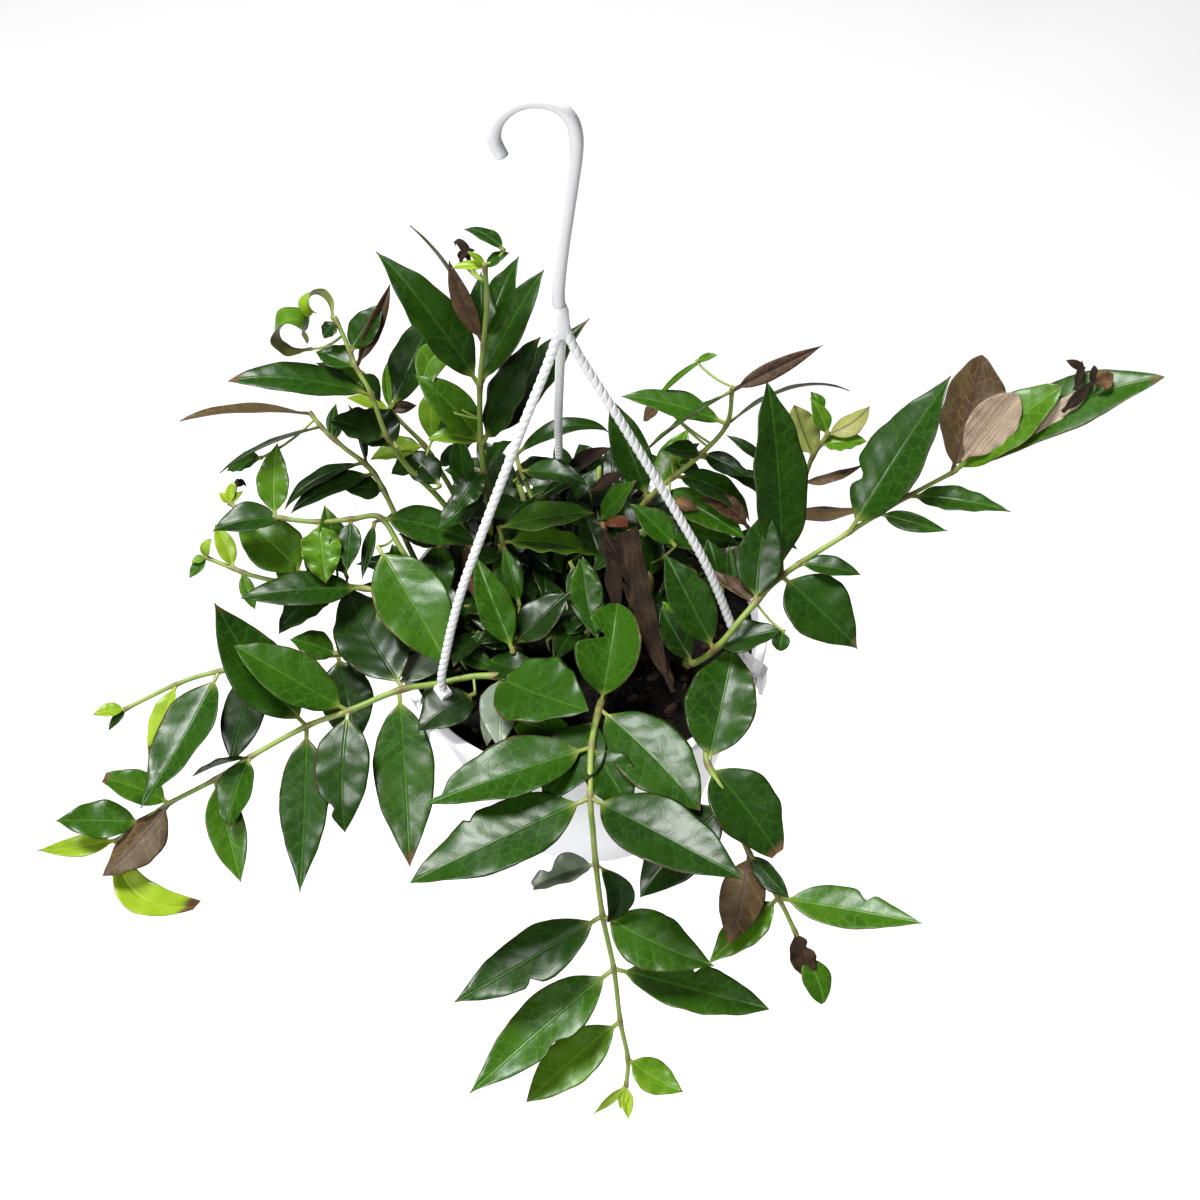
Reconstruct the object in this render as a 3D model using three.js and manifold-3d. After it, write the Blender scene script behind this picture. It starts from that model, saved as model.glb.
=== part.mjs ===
// A hanging pot of black pagoda lipstick plant, a trailing vine with leaves in opposite pairs.
// Units are millimetres, +Z is up, and the origin is the crown of the hook, where the pot hangs.
import * as THREE from 'three';
import { mergeVertices } from 'three/addons/utils/BufferGeometryUtils.js';
import Module from 'manifold-3d';

const wasm = await Module();
wasm.setup();

// Driving dimensions of the pot. Heights are measured from the top of its rim.
const hangHeight = 273;
const potHeight = 125;
const rimRadius = 85;
const lipDepth = 5;
const lipWidth = 4.4;
const wall = 2.1;
const footRadius = 60;
const footWidth = 5;
const footRise = 3;
const floorThickness = 3;
const drainHoles = 6;
const drainRadius = 4;
const drainCircle = 36;
const potSegments = 32;

// Driving dimensions of the potting mix.
const soilTop = -9;
const soilEdge = -11;
const gap = 0.3;

// Driving dimensions of the hanger.
const clipAngles = [214, 334, 94];
const clipWidth = 7;
const cordDiameter = 3.8;
const cordSides = 8;
const cordSteps = 18;
const wireDiameter = 4.8;
const hookRadius = 13;
const neckRadius = 3.2;
const neckBottom = 176;
const neckTop = 190;
const hangerLean = 3;
const clipTop = 12.7;

// Driving dimensions of the plant.
const rootRadius = 2;
const rootGap = 0.36;
const rootBottom = -22;
const stemStart = -6;
const stemRadius = 1.9;
const stemTipRadius = 1.1;
const stemSides = 6;
const stepLength = 18;
const lengthSamples = 400;
const tipInset = 0.15;
const bladeThickness = 0.8;
const petioleThickness = 1.3;
const petioleEnd = 0.08;
const leafStart = 0.7;
const petioleHalfWidth = 0.9;
const tipHalfWidth = 0.45;

// Routes in the upright plane of a clip: distance from the axis, height over the rim.
// The three arms leave the neck as one piece, and each cord starts where its arm ends.
const armRoute = [[0.8, 184], [1.8, 179], [3.4, 173.5], [6.2, 167.3]];
const cordRoute = [
  [6.4, 166.9], [9.7, 160.7], [19, 144], [31, 121.5], [46, 92.5], [57, 70], [64, 52], [69.5, 35],
  [73.4, 22], [74, 13],
];

// Section of a rim clip: distance from the axis, height over the rim.
const clipOutline = [
  [71.6, clipTop], [76.4, clipTop], [77.6, 9.4], [82.5, 5], [86.4, 3.2], [88.3, 1], [88.3, -12], [86.6, -12],
  [86.2, -7.3], [83.4, -7], [83.4, -5.3], [85.3, -5.3], [85.3, 0.4], [80.6, 0.5], [74.8, 6.2], [71.6, 8.4],
];

// Every leafy stem: its route from the potting mix to its tip, then its leaves.
// A leaf row: place on the route in route points, heading and pitch in degrees, length, width,
// and where they differ from the usual leaf, bow and roll in degrees.
const stems = [
  {
    name: 'stem_left_front',
    route: [
      [-15, -32], [-28, -32, 2], [-47, -31, 5], [-64, -34, 6], [-81, -38, 9], [-103, -46, 8],
      [-122, -49, 3], [-148, -56, -7], [-165, -62, -14], [-187, -67, -23], [-200, -72, -29], [-214, -77, -36],
    ],
    leaves: [
      [1.6, -40, 20, 56, 34, 5], [3.9, 115, -2, 66, 32], [4, -90, -30, 76, 27], [5, 155, 27, 56, 26],
      [5, -95, -27, 52, 24, 60], [6, 130, 38, 66, 28, -35], [6, -95, -25, 71, 22, 10], [7, -160, 5, 26, 20, 20, 55],
      [7, -112, -25, 32, 18, 30], [8, -77, -30, 46, 18, -15], [9, 165, 28, 30, 17], [10, -175, 20, 36, 19, -10],
      [9, -132, -8, 41, 22, 10, 180], [11, -168, 15, 33, 11, -25], [11, -35, -28, 48, 16, -40],
      [1.7, -114, 0, 41, 24, 10, 10], [1.5, -92, -5, 36, 18],
    ],
  },
  {
    name: 'stem_left_thin',
    route: [
      [-32, -2], [-57, -12, 1], [-81, -12, 3], [-110, -12, 3], [-130, -14, 3], [-149, -15, 3],
      [-169, -16, 1], [-183, -19, -1], [-196, -22, -5], [-208, -26, -8],
    ],
    leaves: [
      [3, -82, -30, 42, 24, 20], [3, 170, 25, 22, 16], [5.7, -114, -3, 71, 26, -15], [4.7, -112, -24, 45, 20],
      [7, -115, -22, 33, 11, 10], [9, -165, 12, 14, 8], [9, -130, -13, 12, 5, 30],
    ],
  },
  {
    name: 'stem_front_centre',
    route: [
      [9, -27], [8, -42, 0], [5, -56, 8], [1, -76, 12], [-1, -97, 7], [-1, -105, -6], [-1, -113, -22],
      [0, -126, -45], [3, -141, -67], [4, -156, -90], [6, -167, -107], [4, -176, -120],
    ],
    leaves: [
      [1.6, 76, 18, 46, 32, 35], [1.9, -53, -3, 64, 32], [3, -163, 0, 73, 30, 10], [4, -158, -3, 81, 32, 10],
      [4, -38, 5, 74, 31], [6, -165, -5, 26, 12, 30], [6, -75, -20, 26, 13, 110, -70],
      [7, -154, -4, 72, 25, -20], [7, -28, -6, 52, 27, -10], [8, -18, -5, 69, 24, -10], [8, -144, -6, 80, 27, -20],
      [9, -145, -7, 53, 22, -20], [10, -32, -12, 28, 16, -30], [11, -146, -8, 19, 4, 20],
      [11, -110, -15, 10, 5], [11, -90, -17, 14, 6], [2.2, -122, -3, 46, 26], [3, -62, -20, 32, 22],
    ],
  },
  {
    name: 'stem_front_right',
    route: [
      [28, -44], [36, -59, 2], [43, -74, 9], [49, -87, 9], [56, -102, 3], [63, -119, -11], [74, -133, -26],
      [81, -144, -40],
    ],
    leaves: [
      [3, 72, 16, 52, 32], [3, -55, -20, 46, 30], [4, -144, -25, 54, 27], [5, -110, -22, 38, 20, 10, 180],
      [5, -52, -15, 24, 10, 20, 40], [6, -145, -15, 40, 17, -25], [6, -18, 5, 59, 20, -15], [7, -67, -18, 31, 8, 60],
    ],
  },
  {
    name: 'stem_right_long',
    route: [
      [46, -24], [49, -36, 10], [58, -43, 32], [70, -36, 44], [87, -19, 45], [116, -2, 48], [132, 6, 51],
      [146, 13, 53], [168, 22, 57],
    ],
    leaves: [
      [1.9, -8, 12, 31, 15], [1.8, 119, 36, 45, 21], [4, 91, 43, 82, 27, 25, 20], [3.3, 75, 35, 40, 20, 20],
      [4, -46, -20, 44, 31, 10], [4.3, -17, -2, 26, 12], [5.1, 41, 41, 78, 29], [7, -20, 3, 43, 15],
      [6, -22, -3, 30, 9, 35, 50], [8, 69, 46, 50, 29, 15, 180], [8, 3, 29, 94, 27], [8, 16, 38, 58, 20, 15],
      [0.7, 120, 30, 28, 14], [3.4, 140, 12, 19, 8, 20, 180],
    ],
  },
  {
    name: 'stem_back_right',
    route: [[21, 53], [30, 52, 10], [40, 52, 24], [60, 51, 48], [71, 51, 66], [73, 52, 88]],
    leaves: [
      [5, -158, -22, 47, 11, 15, 40], [5, 10, 22, 43, 9, 30, 50], [4, 165, 12, 48, 16], [4, -5, 10, 62, 9, 70, 30],
      [3, -32, -10, 24, 10, 25, 20], [1.6, 112, 41, 50, 19, 20], [2, -42, 0, 49, 20, 35], [2, 50, 38, 31, 15, 25],
      [3, 175, 10, 18, 12], [2.4, -32, -17, 40, 16, 80],
    ],
  },
  {
    name: 'stem_right_low',
    route: [[57, 18], [62, 20, 4], [76, 21, 17], [92, 28, 30], [103, 34, 42], [108, 39, 54], [115, 43, 64]],
    leaves: [
      [5, 112, 40, 24, 18, 20], [6, 15, 30, 22, 12, 60], [5.5, -8, 8, 20, 14], [6, 116, 37, 18, 9],
      [4, 2, 17, 29, 9, 15, 160], [3, -8, 7, 39, 14, 15, 160], [3.6, 150, 8, 28, 9, 25, 20],
    ],
  },
  {
    name: 'stem_upright',
    route: [
      [-39, 51], [-39, 47, 10], [-38, 45, 30], [-37, 46, 72], [-34, 48, 104], [-30, 49, 127], [-26, 47, 152],
      [-25, 48, 170],
    ],
    leaves: [
      [4, 137, 43, 69, 22, 40], [4, 45, 38, 55, 18], [5, 130, 46, 55, 10, 30, 60], [5, 50, 45, 38, 16],
      [5, 85, 50, 29, 13], [7, 140, 45, 17, 13, 25], [7, 175, 0, 13, 6, 30], [7, 150, 40, 9, 4],
      [3, 33, 31, 71, 24], [3, 142, 36, 40, 19, 40], [3, 180, 10, 23, 11, 40], [2.3, -145, -12, 28, 16, 20],
      [2.6, -130, -20, 24, 15, 20],
    ],
  },
  {
    name: 'stem_left_upper',
    route: [
      [-44, 30], [-50, 42, 12], [-60, 48, 34], [-71, 50, 54], [-78, 53, 72], [-82, 60, 92], [-87, 67, 102],
      [-90, 74, 110], [-94, 82, 118],
    ],
    leaves: [
      [5, -178, 16, 60, 18, 35], [8, 150, 40, 13, 7, 160], [7, -175, 10, 25, 12, 190], [7.8, -140, -27, 9, 9],
      [7, -165, 0, 16, 12], [6.6, 42, 32, 25, 16, 20], [6, 52, 40, 38, 8, 20, 50], [4, 175, 25, 26, 20, 20],
      [1, -82, -8, 42, 12, 10],
    ],
  },
  {
    name: 'stem_left_short',
    route: [[-50, 52], [-52, 56, 8], [-55, 59, 25], [-60, 62, 40], [-65, 67, 50], [-73, 73, 58], [-79, 78, 64]],
    leaves: [
      [6, 170, 20, 20, 8, 15], [6, 90, 45, 21, 5], [4, -166, 0, 25, 15], [6, 8, 0, 12, 6, 30, 30],
      [6, 48, 40, 53, 23], [3.5, -165, -12, 20, 15], [3, 20, 25, 20, 11],
    ],
  },
  {
    name: 'stem_left_twisted',
    route: [
      [-60, 6], [-68, 19, 4], [-77, 35, 22], [-82, 45, 36], [-89, 56, 48], [-100, 62, 58], [-108, 68, 64],
      [-114, 75, 69],
    ],
    leaves: [
      [7, -170, 12, 57, 15, 20, 30], [6.2, -156, -4, 49, 12, 25, 40], [5.6, 72, 41, 15, 6], [5.4, 60, 38, 13, 6],
      [4.2, 105, 45, 28, 9, 10, 60], [4.3, -152, -8, 41, 12, 50, 20], [3.9, -157, -6, 41, 14, 45], [3.4, -175, 20, 21, 16],
    ],
  },
  {
    name: 'stem_left_middle',
    route: [
      [-48, -1], [-64, 10, 8], [-77, 24, 26], [-86, 36, 38], [-99, 35, 40], [-113, 34, 41], [-129, 36, 43],
      [-146, 40, 46], [-153, 44, 47],
    ],
    leaves: [
      [3, -66, -27, 75, 33], [3, -10, -20, 44, 20, 20], [6, -168, 5, 31, 18, 30], [6.2, 82, 37, 33, 15],
      [5, -87, -30, 24, 16, 50], [4, -98, -25, 24, 12, 20], [8, 140, 40, 7, 4], [8, 76, 38, 10, 5],
      [8, 39, 18, 8, 4, 30], [1.3, -60, -5, 26, 18],
    ],
  },
  {
    name: 'stem_left_lower',
    route: [
      [-66, 2], [-72, 6, 11], [-91, 10, 19], [-108, 15, 18], [-129, 19, 17], [-146, 24, 18], [-156, 28, 20],
      [-170, 35, 22],
    ],
    leaves: [
      [2.3, -172, 10, 54, 20, 25], [3, -145, -12, 34, 18, 60], [4, 140, 42, 30, 20], [4, 128, 40, 12, 10],
      [5.6, -72, -38, 18, 7, 60], [6, 112, 42, 22, 9], [7, 60, 40, 9, 6, 120], [7, -155, 5, 7, 5, 30],
      [7, -134, -18, 12, 7], [3.2, 118, 40, 24, 12, 10],
    ],
  },
  {
    name: 'stem_centre_front',
    route: [[-30, 30], [-32, 31, 8], [-33, 33, 18], [-34, 36, 26]],
    leaves: [[3, 3, 3, 44, 18, 20], [2, -10, -8, 47, 18, 20], [1.4, -150, 10, 22, 12]],
  },
  {
    name: 'stem_centre_left',
    route: [[-29, -11], [-30, -13, 2], [-31, -22, 9]],
    leaves: [[2, 112, 38, 46, 17, 10], [1.4, 35, 20, 34, 20, 10], [1, 175, 15, 20, 12]],
  },
  {
    name: 'stem_centre_back',
    route: [[-14, 58], [-18, 60, 12], [-23, 69, 25], [-25, 76, 30]],
    leaves: [[3, 8, 5, 45, 11, 100], [2, -25, 5, 34, 15, 40], [1, 20, 18, 40, 9, 30], [1, -80, 5, 30, 17]],
  },
  {
    name: 'stem_centre_right',
    route: [[32, 12], [33, 16, 4], [29, 27, 10], [25, 37, 15]],
    leaves: [[3, -12, -3, 52, 20], [1, 75, 48, 25, 14], [2.6, -135, 5, 28, 14]],
  },
  {
    name: 'stem_centre_mid',
    route: [[8, 37], [10, 41, 6], [12, 44, 15]],
    leaves: [[2, 18, 47, 28, 15], [2, 172, 20, 22, 14], [1.3, -50, 5, 24, 13]],
  },
  {
    name: 'stem_centre_low',
    route: [[1, -9], [3, -7, 0], [4, -4, 6]],
    leaves: [[2, 97, 38, 27, 15], [1.4, -170, 10, 20, 11]],
  },
  {
    name: 'stem_back_left',
    route: [[-22, 65], [-25, 76, 5], [-28, 84, 5], [-31, 91, -6], [-33, 95, -26], [-34, 97, -46]],
    leaves: [
      [3, 150, -15, 40, 18, 20], [3.2, 30, -25, 36, 17, 20], [4, 160, -30, 40, 18, 20], [4.2, 35, -35, 38, 16, 20],
      [5, 140, -50, 32, 14, 20], [5, 50, -55, 30, 13, 20],
    ],
  },
  {
    name: 'stem_back_centre',
    route: [[12, 64], [13, 76, 5], [14, 85, 5], [15, 93, -6], [15, 97, -28], [15, 99, -52], [16, 100, -74]],
    leaves: [
      [3, 20, -20, 40, 18, 20], [4, 150, -25, 34, 16, 20], [4, 25, -35, 42, 19, 20], [5, 155, -30, 38, 17, 20],
      [5, 30, -40, 38, 17, 20], [6, 130, -55, 30, 13], [6, 40, -60, 28, 12],
    ],
  },
  {
    name: 'dry_shoot',
    route: [[38, -32], [34, -24, 3], [24, -6, 14], [16, 14, 25], [13, 28, 33]],
    leaves: [
      [4, -85, -25, 45, 12, 20], [4, 60, 20, 14, 12, 60], [3, -68, -24, 42, 11, 20, -30], [2, -60, -26, 28, 10, 20, 30],
    ],
  },
];

const usualBow = 15;
const usualRoll = 0;

// Where a blade is cut across, as parts of its length: a long leaf, a middling one and a small one.
const longLeaf = 45;
const smallLeaf = 20;
const longStations = [0, 0.24, 0.48, 0.76, 1];
const middleStations = [0, 0.3, 0.65, 1];
const smallStations = [0, 0.45, 1];
const outlineRise = 0.75;
const outlineFall = 1.15;
const curlPower = 1.6;
const arcSteps = 24;

const { degToRad } = THREE.MathUtils;

function paint(color, roughness) {
  return new THREE.MeshStandardMaterial({ color, roughness, metalness: 0 });
}

function onAngle(radius, degrees, height) {
  const a = degToRad(degrees);
  return new THREE.Vector3(radius * Math.cos(a), radius * Math.sin(a), height);
}

function toSolid(geometry) {
  const bare = geometry.clone();
  bare.deleteAttribute('normal');
  bare.deleteAttribute('uv');
  const merged = mergeVertices(bare, 1e-4);
  return new wasm.Manifold(new wasm.Mesh({
    numProp: 3,
    vertProperties: new Float32Array(merged.attributes.position.array),
    triVerts: new Uint32Array(merged.index.array),
  }));
}

function toGeometry(solid) {
  const mesh = solid.getMesh();
  const geometry = new THREE.BufferGeometry();
  geometry.setAttribute('position', new THREE.BufferAttribute(mesh.vertProperties, 3));
  geometry.setIndex(new THREE.BufferAttribute(mesh.triVerts, 1));
  geometry.computeVertexNormals();
  return geometry;
}

// A closed body through rings of points. The under face of a blade is split along the same
// diagonals as its upper face, so the two faces run alike and never cross.
function loft(rings) {
  const sides = rings[0].length;
  const position = [];
  const index = [];
  for (const ring of rings) {
    for (const point of ring) position.push(point.x, point.y, point.z);
  }
  for (let i = 0; i < rings.length - 1; i += 1) {
    for (let j = 0; j < sides; j += 1) {
      const a = i * sides + j;
      const b = i * sides + ((j + 1) % sides);
      const c = a + sides;
      const d = b + sides;
      if (j === sides / 2) index.push(a, b, c, c, b, d);
      else index.push(a, d, c, a, b, d);
    }
  }
  const last = (rings.length - 1) * sides;
  for (let j = 1; j < sides - 1; j += 1) {
    index.push(0, j + 1, j);
    index.push(last, last + j, last + j + 1);
  }
  const geometry = new THREE.BufferGeometry();
  geometry.setAttribute('position', new THREE.Float32BufferAttribute(position, 3));
  geometry.setIndex(index);
  return geometry;
}

// A lathe stands on +Y, so it is turned to stand on +Z.
function lathe(profile, segments) {
  const points = profile.map(([r, z]) => new THREE.Vector2(r, z));
  return new THREE.LatheGeometry(points, segments).rotateX(Math.PI / 2);
}

function upright(radius, bottom, top, sides) {
  const length = top - bottom;
  return new THREE.CylinderGeometry(radius, radius, length, sides).rotateX(Math.PI / 2).translate(0, 0, bottom + length / 2);
}

function tube(path, radius, sides, steps) {
  const section = new THREE.Shape(new THREE.EllipseCurve(0, 0, radius, radius).getPoints(sides).slice(0, sides));
  return new THREE.ExtrudeGeometry(section, { steps, extrudePath: path });
}

function wallRadius(height) {
  return THREE.MathUtils.lerp(rimRadius - lipWidth + wall, footRadius, -height / potHeight);
}

function buildPot() {
  const floorTop = -potHeight + footRise + floorThickness;
  const profile = [
    [0, -potHeight + footRise],
    [footRadius - footWidth, -potHeight + footRise],
    [footRadius - footWidth, -potHeight],
    [footRadius, -potHeight],
    [wallRadius(-lipDepth), -lipDepth],
    [rimRadius, -lipDepth],
    [rimRadius, 0],
    [rimRadius - lipWidth, 0],
    [wallRadius(floorTop) - wall, floorTop],
    [0, floorTop],
  ];
  let pot = toSolid(lathe(profile, potSegments));
  for (let i = 0; i < drainHoles; i += 1) {
    const centre = onAngle(drainCircle, (i * 360) / drainHoles, 0);
    const hole = upright(drainRadius, -potHeight, floorTop + 1, 8).translate(centre.x, centre.y, 0);
    pot = pot.subtract(toSolid(hole));
  }
  return toGeometry(pot);
}

function innerWallRadius(height) {
  const floorTop = -potHeight + footRise + floorThickness;
  return THREE.MathUtils.lerp(rimRadius - lipWidth, wallRadius(floorTop) - wall, height / floorTop);
}

function buildSoil() {
  const bottom = -potHeight + footRise + floorThickness + gap;
  const profile = [
    [0, bottom],
    [innerWallRadius(bottom) - gap * 1.3, bottom],
    [innerWallRadius(soilEdge) - gap * 1.3, soilEdge],
    [innerWallRadius(soilEdge) * 0.72, soilTop - 0.7],
    [0, soilTop],
  ];
  let soil = toSolid(lathe(profile, potSegments));
  for (const { route } of stems) {
    const [x, y] = route[0];
    const hole = upright(rootRadius + rootGap, rootBottom - gap, 0, stemSides).translate(x, y, 0);
    soil = soil.subtract(toSolid(hole));
  }
  return toGeometry(soil);
}

function buildClip() {
  const outline = new THREE.Shape(clipOutline.map(([r, z]) => new THREE.Vector2(r, z)));
  const strap = new THREE.ExtrudeGeometry(outline, { depth: clipWidth, bevelEnabled: false });
  return strap.rotateX(Math.PI / 2).translate(0, clipWidth / 2, 0);
}

// The top of the hanger stands a little to one side of the pot, so a route in an upright plane
// through the axis leans with its height.
function hangerPath(route, angle) {
  const points = route.map(([r, z]) => {
    const point = onAngle(r, angle, z);
    point.x += THREE.MathUtils.mapLinear(z, clipTop, neckBottom, 0, hangerLean);
    return point;
  });
  return new THREE.CatmullRomCurve3(points, false, 'catmullrom', 0.5);
}

function buildCord(angle) {
  return tube(hangerPath(cordRoute, angle), cordDiameter / 2, cordSides, cordSteps);
}

function buildHook() {
  const centre = hangHeight - hookRadius + wireDiameter / 2;
  const points = [[hangerLean, neckTop - 3], [hangerLean, neckTop + 6], [5.5, 214], [9.8, 238], [12.6, 254]];
  for (let angle = 0; angle <= 210; angle += 30) {
    const a = degToRad(angle);
    points.push([hookRadius * Math.cos(a), centre + hookRadius * Math.sin(a)]);
  }
  const path = new THREE.CatmullRomCurve3(
    points.map(([x, z]) => new THREE.Vector3(x, 0, z)), false, 'catmullrom', 0.5,
  );
  let hook = toSolid(tube(path, wireDiameter / 2, 8, 24));
  const neck = lathe([
    [0, neckBottom], [neckRadius, neckBottom], [neckRadius, neckTop - 3], [wireDiameter / 2, neckTop], [0, neckTop],
  ], 12);
  hook = hook.add(toSolid(neck.translate(hangerLean, 0, 0)));
  for (const angle of clipAngles) {
    hook = hook.add(toSolid(tube(hangerPath(armRoute, angle), cordDiameter / 2, cordSides, 4)));
  }
  return toGeometry(hook);
}

function stemPath(route) {
  const points = route.map(([x, y, z = stemStart]) => new THREE.Vector3(x, y, z));
  return new THREE.CatmullRomCurve3(points, false, 'catmullrom', 0.5);
}

// Leaves start from the same straight steps as their stem, so each is rooted well inside it.
function pointOnSteps(path, steps, t) {
  const lengths = path.getLengths(lengthSamples);
  const along = (lengths[Math.round(t * lengthSamples)] / lengths[lengthSamples]) * steps;
  const place = Math.min(along, steps - tipInset);
  const step = Math.floor(place);
  return path.getPointAt(step / steps).lerp(path.getPointAt((step + 1) / steps), place - step);
}

function buildStem(path, steps) {
  const { normals, binormals } = path.computeFrenetFrames(steps);
  const rings = [];
  for (let i = 0; i <= steps; i += 1) {
    const centre = path.getPointAt(i / steps);
    const radius = THREE.MathUtils.lerp(stemRadius, stemTipRadius, i / steps);
    const ring = [];
    for (let j = 0; j < stemSides; j += 1) {
      const a = (j * 2 * Math.PI) / stemSides;
      ring.push(centre.clone()
        .addScaledVector(normals[i], radius * Math.cos(a))
        .addScaledVector(binormals[i], radius * Math.sin(a)));
    }
    rings.push(ring);
  }
  return toSolid(loft(rings));
}

function buildRoot([x, y]) {
  return toSolid(upright(rootRadius, rootBottom, stemStart + 1, stemSides).translate(x, y, 0));
}

// Midrib of a leaf in its own upright plane: along the chord, above the chord, and the slope there.
// It bends more towards the tip, and its two ends lie on a chord of length 1.
function midrib(bow) {
  const turn = degToRad(bow);
  const trace = [[0, 0, 0]];
  let x = 0;
  let z = 0;
  for (let i = 0; i < arcSteps; i += 1) {
    const slope = -turn * ((i + 0.5) / arcSteps) ** curlPower;
    x += Math.cos(slope) / arcSteps;
    z += Math.sin(slope) / arcSteps;
    trace.push([x, z, -turn * ((i + 1) / arcSteps) ** curlPower]);
  }
  const chord = Math.hypot(x, z);
  const tilt = Math.atan2(z, x);
  return (t) => {
    const place = t * arcSteps;
    const i = Math.min(Math.floor(place), arcSteps - 1);
    const w = place - i;
    const [px, pz, slope] = [0, 1, 2].map((k) => THREE.MathUtils.lerp(trace[i][k], trace[i + 1][k], w));
    const along = (px * Math.cos(tilt) + pz * Math.sin(tilt)) / chord;
    const above = (pz * Math.cos(tilt) - px * Math.sin(tilt)) / chord;
    return { along, above, slope: slope - tilt };
  };
}

function outline(t) {
  const peak = outlineRise / (outlineRise + outlineFall);
  const most = peak ** outlineRise * (1 - peak) ** outlineFall;
  return (t ** outlineRise * (1 - t) ** outlineFall) / most;
}

function stationsFor(length) {
  if (length >= longLeaf) return longStations;
  return length < smallLeaf ? smallStations : middleStations;
}

function buildLeaf(base, [, heading, pitch, length, width, bow = usualBow, roll = usualRoll]) {
  const h = degToRad(heading);
  const p = degToRad(pitch);
  const chord = new THREE.Vector3(Math.cos(p) * Math.cos(h), Math.cos(p) * Math.sin(h), Math.sin(p));
  const level = new THREE.Vector3(-Math.sin(h), Math.cos(h), 0);
  const side = level.clone().applyAxisAngle(chord, degToRad(roll));
  const crown = chord.clone().cross(side);
  const rib = midrib(bow);
  const rings = stationsFor(length).map((t, i) => {
    const { along, above, slope } = rib(i === 0 ? leafStart / length : t);
    const centre = base.clone().addScaledVector(chord, along * length).addScaledVector(crown, above * length);
    const normal = crown.clone().multiplyScalar(Math.cos(slope)).addScaledVector(chord, Math.sin(slope) * -1);
    const bladeT = Math.max(0, (t - petioleEnd) / (1 - petioleEnd));
    const least = i === 0 ? petioleHalfWidth : tipHalfWidth;
    const half = Math.max(least, (width / 2) * outline(bladeT));
    const thickness = i === 0 ? petioleThickness : bladeThickness;
    const corner = (across, up) => centre.clone()
      .addScaledVector(side, across * half)
      .addScaledVector(normal, (up * thickness) / 2);
    return [corner(1, 1), corner(-1, 1), corner(-1, -1), corner(1, -1)];
  });
  return toSolid(loft(rings));
}

function buildLeafyStem({ route, leaves }) {
  const path = stemPath(route);
  const steps = Math.ceil(path.getLength() / stepLength);
  let plant = buildRoot(route[0]).add(buildStem(path, steps));
  for (const leaf of leaves) {
    const base = pointOnSteps(path, steps, leaf[0] / (route.length - 1));
    plant = plant.add(buildLeaf(base, leaf));
  }
  return toGeometry(plant);
}

const hangingPlant = new THREE.Group();
const atRim = new THREE.Group();
atRim.position.z = -hangHeight;
hangingPlant.add(atRim);

function place(name, geometry, material, turn = 0) {
  const mesh = new THREE.Mesh(geometry, material);
  mesh.name = name;
  mesh.rotation.z = degToRad(turn);
  atRim.add(mesh);
}

const plastic = paint('#f1f2f4', 0.35);
const foliage = paint('#3f7a24', 0.5);
const dryFoliage = paint('#5a4033', 0.9);

place('pot', buildPot(), plastic);
place('potting_mix', buildSoil(), paint('#17110e', 0.95));
place('hanger_hook', buildHook(), plastic);
clipAngles.forEach((angle, i) => {
  place(`rim_clip_${i + 1}`, buildClip(), plastic, angle);
  place(`hanger_cord_${i + 1}`, buildCord(angle), paint('#f7f7f8', 0.6));
});
for (const stem of stems) {
  place(stem.name, buildLeafyStem(stem), stem.name === 'dry_shoot' ? dryFoliage : foliage);
}

export default hangingPlant;
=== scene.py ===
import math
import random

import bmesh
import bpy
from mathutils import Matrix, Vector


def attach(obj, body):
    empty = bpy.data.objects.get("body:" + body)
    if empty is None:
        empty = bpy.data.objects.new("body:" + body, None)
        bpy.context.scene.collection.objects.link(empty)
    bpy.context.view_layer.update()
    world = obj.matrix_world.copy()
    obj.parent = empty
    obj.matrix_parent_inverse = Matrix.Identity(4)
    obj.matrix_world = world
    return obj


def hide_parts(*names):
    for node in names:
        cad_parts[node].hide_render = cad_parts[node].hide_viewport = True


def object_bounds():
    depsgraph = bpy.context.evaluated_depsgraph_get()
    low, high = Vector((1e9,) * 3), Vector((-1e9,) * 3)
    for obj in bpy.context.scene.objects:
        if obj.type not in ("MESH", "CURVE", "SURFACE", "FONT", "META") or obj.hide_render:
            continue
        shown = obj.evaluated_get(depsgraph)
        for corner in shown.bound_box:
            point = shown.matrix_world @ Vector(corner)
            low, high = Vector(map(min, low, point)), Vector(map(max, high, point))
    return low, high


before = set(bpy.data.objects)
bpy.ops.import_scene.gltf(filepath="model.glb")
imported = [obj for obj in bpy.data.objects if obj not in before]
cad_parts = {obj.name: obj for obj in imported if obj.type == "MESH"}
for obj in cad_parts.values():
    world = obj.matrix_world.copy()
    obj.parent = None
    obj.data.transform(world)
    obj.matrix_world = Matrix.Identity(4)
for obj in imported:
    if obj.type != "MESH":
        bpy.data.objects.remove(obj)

# %% [markdown]
# # A hanging pot of black pagoda lipstick plant
# This lesson dresses a plain model of a trailing houseplant: a white plastic pot on a three-cord
# hanger, full of leafy stems that arch up and spill over the rim. The plain solids give every piece
# its place. Here each one gets its fine shape and its finish.
# First the box of the plain model is kept and its size printed; the floor is later set below the lowest
# point of this box and of the dressed plant.

plain_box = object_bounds()
scene = bpy.context.scene
print("plain model:", [round(high - low, 3) for low, high in zip(*plain_box)], "m")

# %% [markdown]
# ## Units and places
# A plant is easiest to describe in millimetres, with heights measured from the rim of the pot. The
# scene is in metres, with its origin at the crown of the hook, so one small function turns the first
# into the second.

# %% Places measured from the rim
MILLIMETRE = 0.001
HANG_HEIGHT = 273


def at_rim(x, y, z):
    return Vector((x, y, z - HANG_HEIGHT)) * MILLIMETRE


def around(radius, degrees, height):
    angle = math.radians(degrees)
    return at_rim(radius * math.cos(angle), radius * math.sin(angle), height)


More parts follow.
